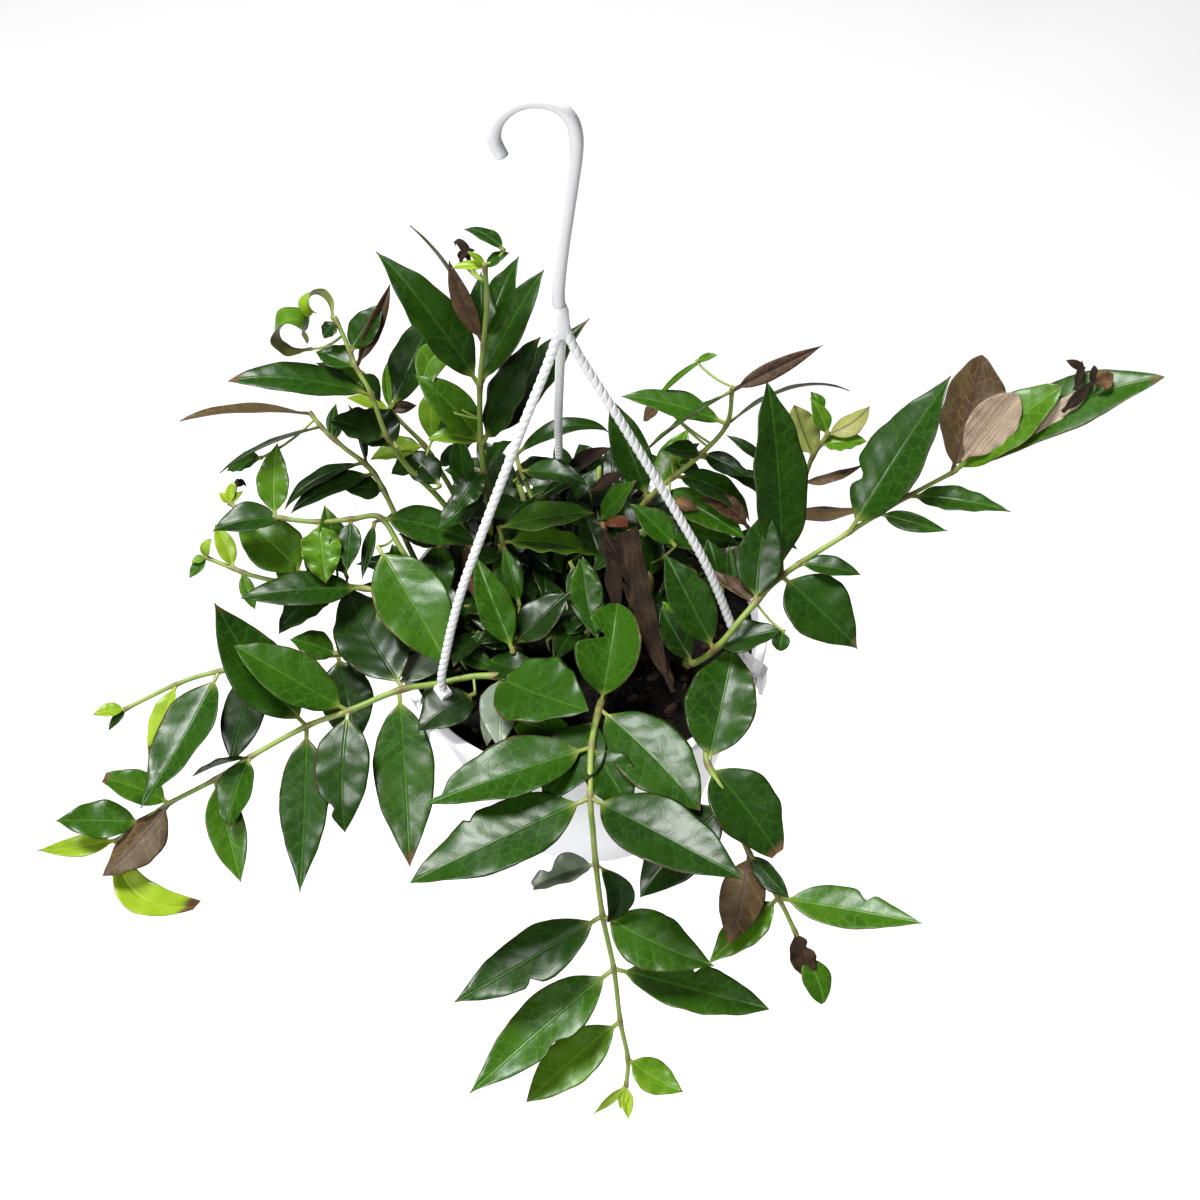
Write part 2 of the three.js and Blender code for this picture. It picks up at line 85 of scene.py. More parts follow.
print("the rim lies", HANG_HEIGHT, "mm under the hook")

# %% [markdown]
# ## The camera
# The plant was seen from in front and well above, so the pot's mouth shows and the front stems hang
# towards us. A camera at that distance is described by three numbers that can be checked against the
# picture: how far it looks down, how much it leans, and where the centre of the rim lands in the
# frame. The lens follows from the size of the frame in pixels.

# %% The camera looks down on the pot
FRAME_PIXELS = 1200
FOCAL_PIXELS = 1538.5
SENSOR_MM = 36
DISTANCE_MM = 700
LOOKS_DOWN = math.radians(53.5)
LEANS = math.radians(-4.4)
RIM_CENTRE_PIXEL = (580.8, 617.6)
NEAREST_SEEN = 0.01
FARTHEST_SEEN = 50

towards_camera = Vector((0, -math.cos(LOOKS_DOWN), math.sin(LOOKS_DOWN)))
level_right = Vector((1, 0, 0))
level_up = Vector((0, math.sin(LOOKS_DOWN), math.cos(LOOKS_DOWN)))
camera_right = level_right * math.cos(LEANS) + level_up * math.sin(LEANS)
camera_up = level_up * math.cos(LEANS) - level_right * math.sin(LEANS)

pixel_size = DISTANCE_MM / FOCAL_PIXELS
right_of_middle = RIM_CENTRE_PIXEL[0] - FRAME_PIXELS / 2
below_middle = RIM_CENTRE_PIXEL[1] - FRAME_PIXELS / 2
camera_place = (
    towards_camera * DISTANCE_MM
    - camera_right * right_of_middle * pixel_size
    + camera_up * below_middle * pixel_size
)

camera_data = bpy.data.cameras.new("plant_camera")
camera_data.sensor_width = SENSOR_MM
camera_data.lens = SENSOR_MM * FOCAL_PIXELS / FRAME_PIXELS
camera_data.clip_start = NEAREST_SEEN
camera_data.clip_end = FARTHEST_SEEN
camera = bpy.data.objects.new("plant_camera", camera_data)
turned = Matrix((camera_right, camera_up, towards_camera)).transposed()
camera.matrix_world = Matrix.Translation(at_rim(*camera_place)) @ turned.to_4x4()
scene.collection.objects.link(camera)
scene.camera = camera
print("lens:", round(camera_data.lens, 1), "mm")

# %% [markdown]
# ## Node trees written as formulas
# Most pieces of this plant follow a rule, so they are made by node trees. A tree of arithmetic is
# hard to read when every node is linked by hand. This small class lets a socket stand in a formula:
# each operator makes the Math node it stands for and links it.


# %% A socket that can stand in a formula
class Formula:
    def __init__(self, tree, socket):
        self.tree = tree
        self.socket = socket

    def made(self, kind, operation, *values, slots=None):
        node = self.tree.nodes.new(kind)
        node.operation = operation
        for place, value in zip(slots or range(len(values)), values):
            feed(self.tree, node.inputs[place], value)
        results = [socket for socket in node.outputs if socket.enabled]
        return Formula(self.tree, results[0])

    def math(self, operation, *others):
        return self.made("ShaderNodeMath", operation, self, *others)

    def vector(self, operation, *others):
        return self.made("ShaderNodeVectorMath", operation, self, *others)

    def __add__(self, other):
        return self.math("ADD", other)

    def __radd__(self, other):
        return self.math("ADD", other)

    def __sub__(self, other):
        return self.math("SUBTRACT", other)

    def __rsub__(self, other):
        return (self * -1).math("ADD", other)

    def __mul__(self, other):
        return self.math("MULTIPLY", other)

    def __truediv__(self, other):
        return self.math("DIVIDE", other)

    def __rtruediv__(self, other):
        return (self ** -1.0) * other

    def __pow__(self, other):
        return self.math("POWER", other)

    def __gt__(self, other):
        return self.math("GREATER_THAN", other)

    def scaled(self, factor):
        return self.made("ShaderNodeVectorMath", "SCALE", self, factor, slots=(0, 3))

    def plus(self, *others):
        total = self
        for other in others:
            total = total.vector("ADD", other)
        return total

    def cross(self, other):
        return self.vector("CROSS_PRODUCT", other)

    def part(self, axis):
        return add(self.tree, "ShaderNodeSeparateXYZ", {"Vector": self}, axis)


print("formulas know", sorted(name for name in vars(Formula) if not name.startswith("_")))

# %% [markdown]
# Other nodes are added by one function, which takes the inputs by name. Two nodes come up again and
# again, a soft step and a blend between two numbers, so these get a function each.


# %% Adding and feeding nodes
def feed(tree, slot, value):
    if isinstance(value, Formula):
        tree.links.new(value.socket, slot)
    else:
        slot.default_value = value


def socket_called(sockets, label):
    if isinstance(label, int):
        return sockets[label]
    return next(socket for socket in sockets if socket.name == label and socket.enabled)


def add(tree, kind, values=(), out=0, **settings):
    """Adds a node with its settings and inputs, and returns one of its outputs as a formula."""
    node = tree.nodes.new(kind)
    for name, value in settings.items():
        setattr(node, name, value)
    for label, value in dict(values).items():
        feed(tree, socket_called(node.inputs, label), value)
    return Formula(tree, socket_called(node.outputs, out))


def eased(value, low, high):
    """0 below low, 1 above high, and a smooth ramp between them."""
    ranges = {"Value": value, "From Min": low, "From Max": high}
    return add(value.tree, "ShaderNodeMapRange", ranges, "Result", interpolation_type="SMOOTHSTEP")


def blended(share, first, second):
    """first where share is 0, second where it is 1. The two are numbers or number formulas."""
    values = {"Factor": share, "A": first, "B": second}
    return add(share.tree, "ShaderNodeMix", values, "Result", data_type="FLOAT")


print("nodes can be added and fed")

# %% [markdown]
# ## Running a geometry tree
# A geometry tree starts from a simple base mesh: a line of points that says where a cord runs, or one
# loose point for each leaf. Its sizes are named inputs, so the same tree serves many pieces. A
# modifier keeps its inputs under each socket's identifier and not under its name, so the identifier
# is looked up first. The finished mesh is then copied out, and the modifier is gone.

# %% Making a tree and running it
SOCKET_TYPES = {float: "NodeSocketFloat", int: "NodeSocketInt"}


def new_tree(name, sizes, materials):
    tree = bpy.data.node_groups.new(name, "GeometryNodeTree")
    tree.interface.new_socket("Geometry", in_out="INPUT", socket_type="NodeSocketGeometry")
    for label, value in sizes.items():
        kind = SOCKET_TYPES[type(value)]
        tree.interface.new_socket(label, in_out="INPUT", socket_type=kind).default_value = value
    for label in materials:
        tree.interface.new_socket(label, in_out="INPUT", socket_type="NodeSocketMaterial")
    tree.interface.new_socket("Geometry", in_out="OUTPUT", socket_type="NodeSocketGeometry")
    entry = tree.nodes.new("NodeGroupInput")
    return tree, {socket.name: Formula(tree, socket) for socket in entry.outputs if socket.name}


def close_tree(tree, geometry):
    tree.links.new(geometry.socket, tree.nodes.new("NodeGroupOutput").inputs[0])
    print("tree", tree.name, "has", len(tree.nodes), "nodes")


def store(tree, geometry, name, value, kind="FLOAT"):
    """Writes a value on every point, under a name that other trees and finishes can read."""
    values = {"Geometry": geometry, "Name": name, "Value": value}
    return add(tree, "GeometryNodeStoreNamedAttribute", values, data_type=kind, domain="POINT")


def run_tree(name, base, tree, values):
    source = bpy.data.objects.new(name + "_base", base)
    scene.collection.objects.link(source)
    modifier = source.modifiers.new(tree.name, "NODES")
    modifier.node_group = tree
    for item in tree.interface.items_tree:
        if item.in_out == "INPUT" and item.name in values:
            modifier[item.identifier] = values[item.name]
    depsgraph = bpy.context.evaluated_depsgraph_get()
    mesh = bpy.data.meshes.new_from_object(source.evaluated_get(depsgraph), depsgraph=depsgraph)
    source.modifiers.remove(modifier)
    bpy.data.objects.remove(source)
    mesh.name = name
    piece = bpy.data.objects.new(name, mesh)
    scene.collection.objects.link(piece)
    return piece


def line_mesh(name, points):
    mesh = bpy.data.meshes.new(name)
    mesh.from_pydata(points, [(i, i + 1) for i in range(len(points) - 1)], [])
    return mesh


def triangles_in(piece):
    piece.data.calc_loop_triangles()
    return len(piece.data.loop_triangles)


print("trees can be run")

# %% [markdown]
# ## A smooth route through a few points
# Cords and stems both follow smooth routes. A Catmull-Rom curve passes through every point that it
# is given, so a route can be written down as a handful of places and still bend like a living stem.


# %% A Catmull-Rom route
def route_point(points, place):
    """The point of a smooth route at a place counted in route points: 0 is the first of them."""
    last = len(points) - 1
    place = min(max(place, 0), last)
    first = min(int(place), last - 1)
    w = place - first
    p1 = points[first]
    p2 = points[first + 1]
    p0 = points[first - 1] if first > 0 else 2 * p1 - p2
    p3 = points[first + 2] if first + 2 <= last else 2 * p2 - p1
    v0 = (p2 - p0) / 2
    v1 = (p3 - p1) / 2
    return (2 * p1 - 2 * p2 + v0 + v1) * w ** 3 + (3 * p2 - 3 * p1 - 2 * v0 - v1) * w ** 2 + v0 * w + p1


def route_samples(points, per_point):
    count = (len(points) - 1) * per_point
    return [route_point(points, i / per_point) for i in range(count + 1)]


def length_of(points):
    return sum((b - a).length for a, b in zip(points, points[1:]))


print("routes are ready")

# %% [markdown]
# ## Shader helpers
# Every finish is a Principled surface with a pattern worked out by nodes, and never a flat colour.
# A pattern that more than one finish uses is a group of its own, with named inputs and outputs. The
# first such group is a fine unevenness: every moulded or grown surface has some, and without it the
# light on it looks drawn with a ruler.


# %% Colours, finishes and the group of fine unevenness
def linear(code):
    """A colour in the renderer's own units from the usual six figures."""
    parts = [int(code[i:i + 2], 16) / 255 for i in (0, 2, 4)]
    return (*[c / 12.92 if c <= 0.04045 else ((c + 0.055) / 1.055) ** 2.4 for c in parts], 1)


def new_finish(name):
    finish = bpy.data.materials.new(name)
    finish.use_nodes = True
    tree = finish.node_tree
    return finish, tree, tree.nodes["Principled BSDF"]


def set_surface(surface, values):
    """Gives the named inputs of a surface their numbers or formulas."""
    for label, value in values.items():
        feed(surface.id_data, surface.inputs[label], value)


def attribute(tree, name, out="Fac"):
    return add(tree, "ShaderNodeAttribute", out=out, attribute_name=name)


def mixed(share, first, second, blend="MIX"):
    values = {"Factor": share, "A": first, "B": second}
    return add(share.tree, "ShaderNodeMix", values, "Result", data_type="RGBA", blend_type=blend)


def noise(tree, place, scale, detail=3.0, roughness=0.5):
    values = {"Vector": place, "Scale": scale, "Detail": detail, "Roughness": roughness}
    return add(tree, "ShaderNodeTexNoise", values, "Fac")


def bump(tree, height, strength, distance):
    values = {"Height": height, "Strength": strength, "Distance": distance}
    return add(tree, "ShaderNodeBump", values, "Normal")


def new_group(name, inputs, outputs):
    group = bpy.data.node_groups.new(name, "ShaderNodeTree")
    for label, kind in inputs.items():
        group.interface.new_socket(label, in_out="INPUT", socket_type=kind)
    for label in outputs:
        group.interface.new_socket(label, in_out="OUTPUT", socket_type="NodeSocketFloat")
    entry = group.nodes.new("NodeGroupInput")
    leave = group.nodes.new("NodeGroupOutput")
    return group, {s.name: Formula(group, s) for s in entry.outputs if s.name}, leave


uneven, given, leave = new_group(
    "Fine unevenness",
    {"Place": "NodeSocketVector", "Broad scale": "NodeSocketFloat", "Grain scale": "NodeSocketFloat"},
    ("Broad", "Grain"),
)
feed(uneven, leave.inputs["Broad"], noise(uneven, given["Place"], given["Broad scale"]))
feed(uneven, leave.inputs["Grain"], noise(uneven, given["Place"], given["Grain scale"], detail=2.0))


def unevenness(tree, broad_scale, grain_scale):
    """The broad and the grainy variation of the group, from 0 to 1, at each place of a piece."""
    node = tree.nodes.new("ShaderNodeGroup")
    node.node_tree = uneven
    feed(tree, node.inputs["Place"], add(tree, "ShaderNodeTexCoord", out="Object"))
    node.inputs["Broad scale"].default_value = broad_scale
    node.inputs["Grain scale"].default_value = grain_scale
    return Formula(tree, node.outputs["Broad"]), Formula(tree, node.outputs["Grain"])


print("group", uneven.name, "is ready")

# %% [markdown]
# ## White plastic
# The pot, the hook and the rim clips are moulded from white plastic. It is never one white: thin walls
# let a cool grey through, dust dulls the gloss in patches, and moulding leaves a faint waviness. The
# pot is a little greyer and duller than the hanger.

# %% The white plastics
DUSTY_ROUGHNESS = 0.1


def plastic(name, light, shade, roughness, grain):
    finish, tree, surface = new_finish(name)
    broad, fine = unevenness(tree, broad_scale=22.0, grain_scale=900.0)
    set_surface(surface, {
        "Base Color": mixed(eased(broad, 0.35, 0.75), linear(light), linear(shade)),
        "Roughness": blended(broad, roughness, roughness + DUSTY_ROUGHNESS),
        "Normal": bump(tree, broad + fine * grain, strength=0.12, distance=0.0006),
        "Subsurface Weight": 0.08,
        "Subsurface Radius": (0.002, 0.002, 0.002),
    })
    return finish


POT_PLASTIC = plastic("pot_plastic", "f2f3f7", "ebecf1", roughness=0.36, grain=0.5)
HANGER_PLASTIC = plastic("hanger_plastic", "fbfbfd", "f1f2f6", roughness=0.28, grain=0.2)
CORD_PLASTIC = plastic("cord_plastic", "fbfbfb", "eceef0", roughness=0.42, grain=0.6)
print("finishes:", POT_PLASTIC.name, HANGER_PLASTIC.name, CORD_PLASTIC.name)

# %% [markdown]
# ## The twisted cords
# Three cords run from the neck under the hook down to the rim. Each is a 3.8 mm cord of two strands,
# laid around each other about once in 7.4 mm, which gives the small waves along its outline. A tube
# with a bumpy section that turns as it goes makes exactly that: the section is a circle with two
# shallow grooves, and the tilt of the curve grows with the length along it.

# %% The tree of a twisted cord
CORD_SIZES = {
    "Radius": 0.0019, "Groove": 0.22, "Strands": 2, "Pitch": 0.0074, "Step": 0.0005, "Points round": 24,
}
cord_tree, given = new_tree("Twisted cord", CORD_SIZES, ["Finish"])
turn = 2 * math.pi

line = add(cord_tree, "GeometryNodeMeshToCurve", {"Mesh": given["Geometry"]})
spacing = {"Curve": line, "Length": given["Step"]}
line = add(cord_tree, "GeometryNodeResampleCurve", spacing, mode="LENGTH")
along = add(cord_tree, "GeometryNodeSplineParameter", out="Length")
twist = along / given["Pitch"] * turn
line = add(cord_tree, "GeometryNodeSetCurveTilt", {"Curve": line, "Tilt": twist})

section = add(
    cord_tree, "GeometryNodeCurvePrimitiveCircle",
    {"Resolution": given["Points round"], "Radius": given["Radius"]}, "Curve",
)
share_round = add(cord_tree, "GeometryNodeSplineParameter", out="Factor")
lobes = (share_round * given["Strands"] * math.pi).math("SINE").math("ABSOLUTE")
groove = 1 - (1 - lobes) ** 2.0 * given["Groove"]
place = add(cord_tree, "GeometryNodeInputPosition")
grooved = {"Geometry": section, "Position": place.scaled(groove)}
section = add(cord_tree, "GeometryNodeSetPosition", grooved)

tube = add(
    cord_tree, "GeometryNodeCurveToMesh",
    {"Curve": line, "Profile Curve": section, "Fill Caps": True},
)
tube = add(cord_tree, "GeometryNodeSetShadeSmooth", {"Geometry": tube})
tube = add(cord_tree, "GeometryNodeRealizeInstances", {"Geometry": tube})
tube = add(cord_tree, "GeometryNodeSetMaterial", {"Geometry": tube, "Material": given["Finish"]})
close_tree(cord_tree, tube)

# %% [markdown]
# The top of the hanger stands a little to one side of the pot, so every route leans with its height.
# Each cord leaves the end of an arm of the neck and goes taut to the upright tab of its rim clip. The
# length of each cord, measured along its own route, is printed.

# %% The three cords
CLIP_ANGLES = (214, 334, 94)
CLIP_TOP = 12.7
NECK_BOTTOM = 176
HANGER_LEAN = 3
STRAND_SAMPLES = 12
ARM_ROUTE = ((0.8, 184), (1.8, 179), (3.4, 173.5), (6.2, 167.3))
CORD_ROUTE = (
    (6.4, 166.9), (9.7, 160.7), (19, 144), (31, 121.5), (46, 92.5), (57, 70), (64, 52), (69.5, 35),
    (73.4, 22), (74, 13),
)


def hanger_samples(route, degrees):
    """A route of (distance from the middle, height) swung round to one side of the hanger."""
    points = []
    for radius, height in route:
        point = around(radius, degrees, height)
        point.x += HANGER_LEAN * MILLIMETRE * (height - CLIP_TOP) / (NECK_BOTTOM - CLIP_TOP)
        points.append(point)
    return route_samples(points, STRAND_SAMPLES)


def hanger_strand(name, samples):
    return run_tree(name, line_mesh(name, samples), cord_tree, {"Finish": CORD_PLASTIC})


for number, degrees in enumerate(CLIP_ANGLES, 1):
    samples = hanger_samples(CORD_ROUTE, degrees)
    cord = hanger_strand(f"twisted_cord_{number}", samples)
    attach(cord, "root")
    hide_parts(f"hanger_cord_{number}")
    length_of(samples)
    print(cord.name, round(length_of(samples), 4), "m,", triangles_in(cord), "triangles")

# %% [markdown]
# ## Small tools for solid pieces
# The moulded pieces are closed solids with softened edges. A lathe turns an outline round the axis, as
# a potter's wheel does: a ring of points for each point of the outline, and a single one on the axis.
# Joining solids with a boolean keeps them one clean body instead of shapes stuck through each other.

# %% Lathe, edge rounding and joining
SHARP_FROM = math.radians(35)


def piece_from(name, bm, finish):
    mesh = bpy.data.meshes.new(name)
    bm.to_mesh(mesh)
    bm.free()
    mesh.materials.append(finish)
    piece = bpy.data.objects.new(name, mesh)
    scene.collection.objects.link(piece)
    return piece


def lathe(name, outline, steps, finish):
    """Turns an outline of (radius, height) round the axis, from a first point on the axis to a last."""
    bm = bmesh.new()
    rings = []
    for radius, height in outline:
        places = [around(radius, 360 * step / steps, height) for step in range(steps if radius else 1)]
        rings.append([bm.verts.new(place) for place in places])
    for ring, next_ring in zip(rings, rings[1:]):
        for step in range(steps):
            near = [ring[number % len(ring)] for number in (step, step + 1)]
            far = [next_ring[number % len(next_ring)] for number in (step + 1, step)]
            # On the axis two corners are the same point, and a face may hold it only once.
            bm.faces.new(list(dict.fromkeys(near + far)))
    bmesh.ops.recalc_face_normals(bm, faces=bm.faces)
    for face in bm.faces:
        face.smooth = True
    return piece_from(name, bm, finish)


def keep_modifiers(piece):
    """Turns a piece with modifiers into the plain mesh that they make."""
    depsgraph = bpy.context.evaluated_depsgraph_get()
    made = bpy.data.meshes.new_from_object(piece.evaluated_get(depsgraph), depsgraph=depsgraph)
    piece.modifiers.clear()
    piece.data = made


def round_edges(piece, width, segments):
    rounding = piece.modifiers.new("round_edges", "BEVEL")
    rounding.width = width * MILLIMETRE
    rounding.segments = segments
    rounding.limit_method = "ANGLE"
    rounding.angle_limit = SHARP_FROM
    rounding.harden_normals = False
    keep_modifiers(piece)


def combine(piece, other, operation):
    cut = piece.modifiers.new("combine", "BOOLEAN")
    cut.operation = operation
    cut.solver = "MANIFOLD"
    cut.object = other
    keep_modifiers(piece)
    bpy.data.objects.remove(other)


print("tools for solid pieces are ready")

# %% [markdown]
# ## The pot
# A nursery pot is a tapered bucket with a band round its mouth, a ring to stand on, and holes in its
# floor. The wall is about 2 mm thick, and no moulded edge is sharp: the rim's edges are rounded off so
# that they catch a thin line of light.

# %% The pot
POT_HEIGHT = 125
RIM_RADIUS = 85
LIP_DEPTH = 5
LIP_WIDTH = 4.4
WALL = 2.1
FOOT_RADIUS = 60
FOOT_WIDTH = 5
FOOT_RISE = 3
FLOOR_TOP = -119
POT_STEPS = 160


def wall_radius(height):
    share = -height / POT_HEIGHT
    return (RIM_RADIUS - LIP_WIDTH + WALL) * (1 - share) + FOOT_RADIUS * share


def inner_radius(height):
    share = height / FLOOR_TOP
    return (RIM_RADIUS - LIP_WIDTH) * (1 - share) + (wall_radius(FLOOR_TOP) - WALL) * share


pot_outline = [
    (0, -POT_HEIGHT + FOOT_RISE), (FOOT_RADIUS - FOOT_WIDTH, -POT_HEIGHT + FOOT_RISE),
    (FOOT_RADIUS - FOOT_WIDTH, -POT_HEIGHT), (FOOT_RADIUS, -POT_HEIGHT),
    (wall_radius(-LIP_DEPTH), -LIP_DEPTH), (RIM_RADIUS, -LIP_DEPTH), (RIM_RADIUS, 0),
    (RIM_RADIUS - LIP_WIDTH, 0), (inner_radius(FLOOR_TOP), FLOOR_TOP), (0, FLOOR_TOP),
]
pot = lathe("white_pot", pot_outline, POT_STEPS, POT_PLASTIC)
round_edges(pot, width=0.8, segments=3)

DRAIN_HOLES = 6
DRAIN_CIRCLE = 36
DRAIN_RADIUS = 4
DRAIN_CUT_DEPTH = 20
for number in range(DRAIN_HOLES):
    centre = around(DRAIN_CIRCLE, 360 * number / DRAIN_HOLES, -POT_HEIGHT + FOOT_RISE)
    bm = bmesh.new()
    bmesh.ops.create_cone(
        bm, cap_ends=True, segments=32, radius1=DRAIN_RADIUS * MILLIMETRE,
        radius2=DRAIN_RADIUS * MILLIMETRE, depth=DRAIN_CUT_DEPTH * MILLIMETRE,
        matrix=Matrix.Translation(centre),
    )
    combine(pot, piece_from("drain_hole", bm, POT_PLASTIC), "DIFFERENCE")
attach(pot, "root")
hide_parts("pot")
print(pot.name, triangles_in(pot), "triangles, rim", 2 * RIM_RADIUS, "mm across")

# %% [markdown]
# ## The rim clips
# Each cord ends in a flat white strap that reaches over the rim and hooks under the band. Its side
# view is one outline, so the clip is that outline pushed out to a width of 7 mm, with soft edges.

# %% The rim clips
CLIP_WIDTH = 7
CLIP_OUTLINE = (
    (71.6, CLIP_TOP), (76.4, CLIP_TOP), (77.6, 9.4), (82.5, 5), (86.4, 3.2), (88.3, 1), (88.3, -12),
    (86.6, -12), (86.2, -7.3), (83.4, -7), (83.4, -5.3), (85.3, -5.3), (85.3, 0.4), (80.6, 0.5),
    (74.8, 6.2), (71.6, 8.4),
)
for number, degrees in enumerate(CLIP_ANGLES, 1):
    bm = bmesh.new()
    swing = Matrix.Rotation(math.radians(degrees), 3, "Z")
    sides = []
    for y in (-CLIP_WIDTH / 2, CLIP_WIDTH / 2):
        sides.append([bm.verts.new(swing @ at_rim(r, y, z)) for r, z in CLIP_OUTLINE])
    bm.faces.new(sides[0])
    bm.faces.new(sides[1])
    for corner in range(len(CLIP_OUTLINE)):
        following = (corner + 1) % len(CLIP_OUTLINE)
        bm.faces.new((sides[0][corner], sides[0][following], sides[1][following], sides[1][corner]))
    bmesh.ops.recalc_face_normals(bm, faces=bm.faces)
    clip = piece_from(f"clip_{number}", bm, HANGER_PLASTIC)
    round_edges(clip, width=0.35, segments=2)
    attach(clip, "root")
    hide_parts(f"rim_clip_{number}")
    print(clip.name, triangles_in(clip), "triangles")

# %% [markdown]
# ## The hook
# The hook is a round white wire, bent over at the top, with a short neck below it. The three arms of
# the neck are the tops of the cords, so they are twisted in the same way. All five solids are joined
# into one body.

# %% The hook with its neck and arms
WIRE_DIAMETER = 4.8
HOOK_RADIUS = 13
NECK_RADIUS = 3.2
NECK_TOP = 190
NECK_SHOULDER = 187
NECK_TOP_RADIUS = 2.5
SHANK_ROUTE = ((HANGER_LEAN, NECK_SHOULDER), (HANGER_LEAN, 196), (5.5, 214), (9.8, 238), (12.6, 254))
HOOK_BEND_END = 210
HOOK_BEND_STEP = 30
hook_centre = HANG_HEIGHT - HOOK_RADIUS + WIRE_DIAMETER / 2

hook_route = [at_rim(x, 0, z) for x, z in SHANK_ROUTE]
for degrees in range(0, HOOK_BEND_END + 1, HOOK_BEND_STEP):
    bend = math.radians(degrees)
    hook_route.append(at_rim(HOOK_RADIUS * math.cos(bend), 0, hook_centre + HOOK_RADIUS * math.sin(bend)))
wire = {"Radius": WIRE_DIAMETER / 2 * MILLIMETRE, "Groove": 0.0, "Step": 0.0012, "Finish": HANGER_PLASTIC}
hook_line = line_mesh("hook", route_samples(hook_route, per_point=8))
hook = run_tree("hook", hook_line, cord_tree, wire)

neck_outline = [
    (0, NECK_BOTTOM), (NECK_RADIUS, NECK_BOTTOM), (NECK_RADIUS, NECK_SHOULDER),
    (NECK_TOP_RADIUS, NECK_TOP), (0, NECK_TOP),
]
neck = lathe("neck", neck_outline, steps=32, finish=HANGER_PLASTIC)
round_edges(neck, width=0.5, segments=2)
neck.data.transform(Matrix.Translation((HANGER_LEAN * MILLIMETRE, 0, 0)))
combine(hook, neck, "UNION")
for degrees in CLIP_ANGLES:
    combine(hook, hanger_strand("arm", hanger_samples(ARM_ROUTE, degrees)), "UNION")
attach(hook, "root")
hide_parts("hanger_hook")
print(hook.name, triangles_in(hook), "triangles")

# %% [markdown]
# ## The potting mix
# Between the stems the pot is filled to just under its rim with wet, dark peat and shreds of bark.
# The body is a lathed plug with a lumpy top. The crumbs are scattered by a tree: points spread over
# the top with a fixed seed, a small rough lump at each, turned and sized at random. There are more
# than a thousand, so each has only eighty faces.

# %% The finish of the potting mix
WET_PEAT = "070504"
DRY_BARK = "34251a"

mix_finish, tree, surface = new_finish("wet_peat")
broad, fine = unevenness(tree, broad_scale=90.0, grain_scale=1100.0)
shade = attribute(tree, "crumb_shade")
set_surface(surface, {
    "Base Color": mixed(eased(shade + broad * 0.5, 0.45, 1.3), linear(WET_PEAT), linear(DRY_BARK)),
    "Roughness": blended(fine, 0.55, 0.95),
    "Normal": bump(tree, fine + broad, strength=0.9, distance=0.0012),
    "Specular IOR Level": 0.12,
})
print("finish:", mix_finish.name)

# %% The tree that scatters crumbs
MIX_SIZES = {
    "Lump height": 0.0034, "Crumbs per square metre": 80000.0, "Smallest": 0.0007, "Largest": 0.0027,
    "Seed": 7,
}
NEARLY_LEVEL = 0.8
BODY_SHADE = 0.1
ROUGH_LEAST = 0.72
ROUGH_RANGE = 0.56
CRUMB_STRETCH = (0.6, 2.1)
CRUMB_FLATNESS = 0.7
MOSTLY_SMALL = 3.0

mix_tree, given = new_tree("Potting mix", MIX_SIZES, ["Finish"])
on_top = add(mix_tree, "GeometryNodeInputNormal").part("Z") > NEARLY_LEVEL
place = add(mix_tree, "GeometryNodeInputPosition")
lumps = noise(mix_tree, place, scale=95.0) - 0.5
lift = add(mix_tree, "ShaderNodeCombineXYZ", {"Z": lumps * given["Lump height"] * on_top})
body = add(mix_tree, "GeometryNodeSetPosition", {"Geometry": given["Geometry"], "Offset": lift})
body = store(mix_tree, body, "crumb_shade", BODY_SHADE)

spots = mix_tree.nodes.new("GeometryNodeDistributePointsOnFaces")
feed(mix_tree, spots.inputs["Mesh"], body)
feed(mix_tree, spots.inputs["Selection"], on_top)
feed(mix_tree, socket_called(spots.inputs, "Density"), given["Crumbs per square metre"])
feed(mix_tree, spots.inputs["Seed"], given["Seed"])
spread = Formula(mix_tree, spots.outputs["Points"])


def drawn(low, high, seed_step, kind="FLOAT"):
    """A random value for each crumb."""
    values = {"Min": low, "Max": high, "Seed": given["Seed"] + seed_step}
    return add(mix_tree, "FunctionNodeRandomValue", values, "Value", data_type=kind)


spread = store(mix_tree, spread, "crumb_shade", drawn(0.0, 1.0, seed_step=1))
lump = add(mix_tree, "GeometryNodeMeshIcoSphere", {"Radius": 1.0, "Subdivisions": 2})
lump_place = add(mix_tree, "GeometryNodeInputPosition")
rough = ROUGH_LEAST + noise(mix_tree, lump_place, scale=1.4) * ROUGH_RANGE
lump = add(mix_tree, "GeometryNodeSetPosition", {"Geometry": lump, "Position": lump_place.scaled(rough)})
size = blended(drawn(0.0, 1.0, seed_step=2) ** MOSTLY_SMALL, given["Smallest"], given["Largest"])
long_side = size * drawn(*CRUMB_STRETCH, seed_step=3)
stretch = add(mix_tree, "ShaderNodeCombineXYZ", {"X": long_side, "Y": size, "Z": size * CRUMB_FLATNESS})
turned_by = drawn((0.0, 0.0, 0.0), (turn, turn, turn), seed_step=4, kind="FLOAT_VECTOR")
crumbs = add(
    mix_tree, "GeometryNodeInstanceOnPoints",
    {"Points": spread, "Instance": lump, "Rotation": turned_by, "Scale": stretch},
)
crumbs = add(mix_tree, "GeometryNodeRealizeInstances", {"Geometry": crumbs})
both = mix_tree.nodes.new("GeometryNodeJoinGeometry")
for part in (body, crumbs):
    mix_tree.links.new(part.socket, both.inputs[0])
mix = add(mix_tree, "GeometryNodeSetShadeSmooth", {"Geometry": Formula(mix_tree, both.outputs[0])})
mix = add(mix_tree, "GeometryNodeSetMaterial", {"Geometry": mix, "Material": given["Finish"]})
close_tree(mix_tree, mix)

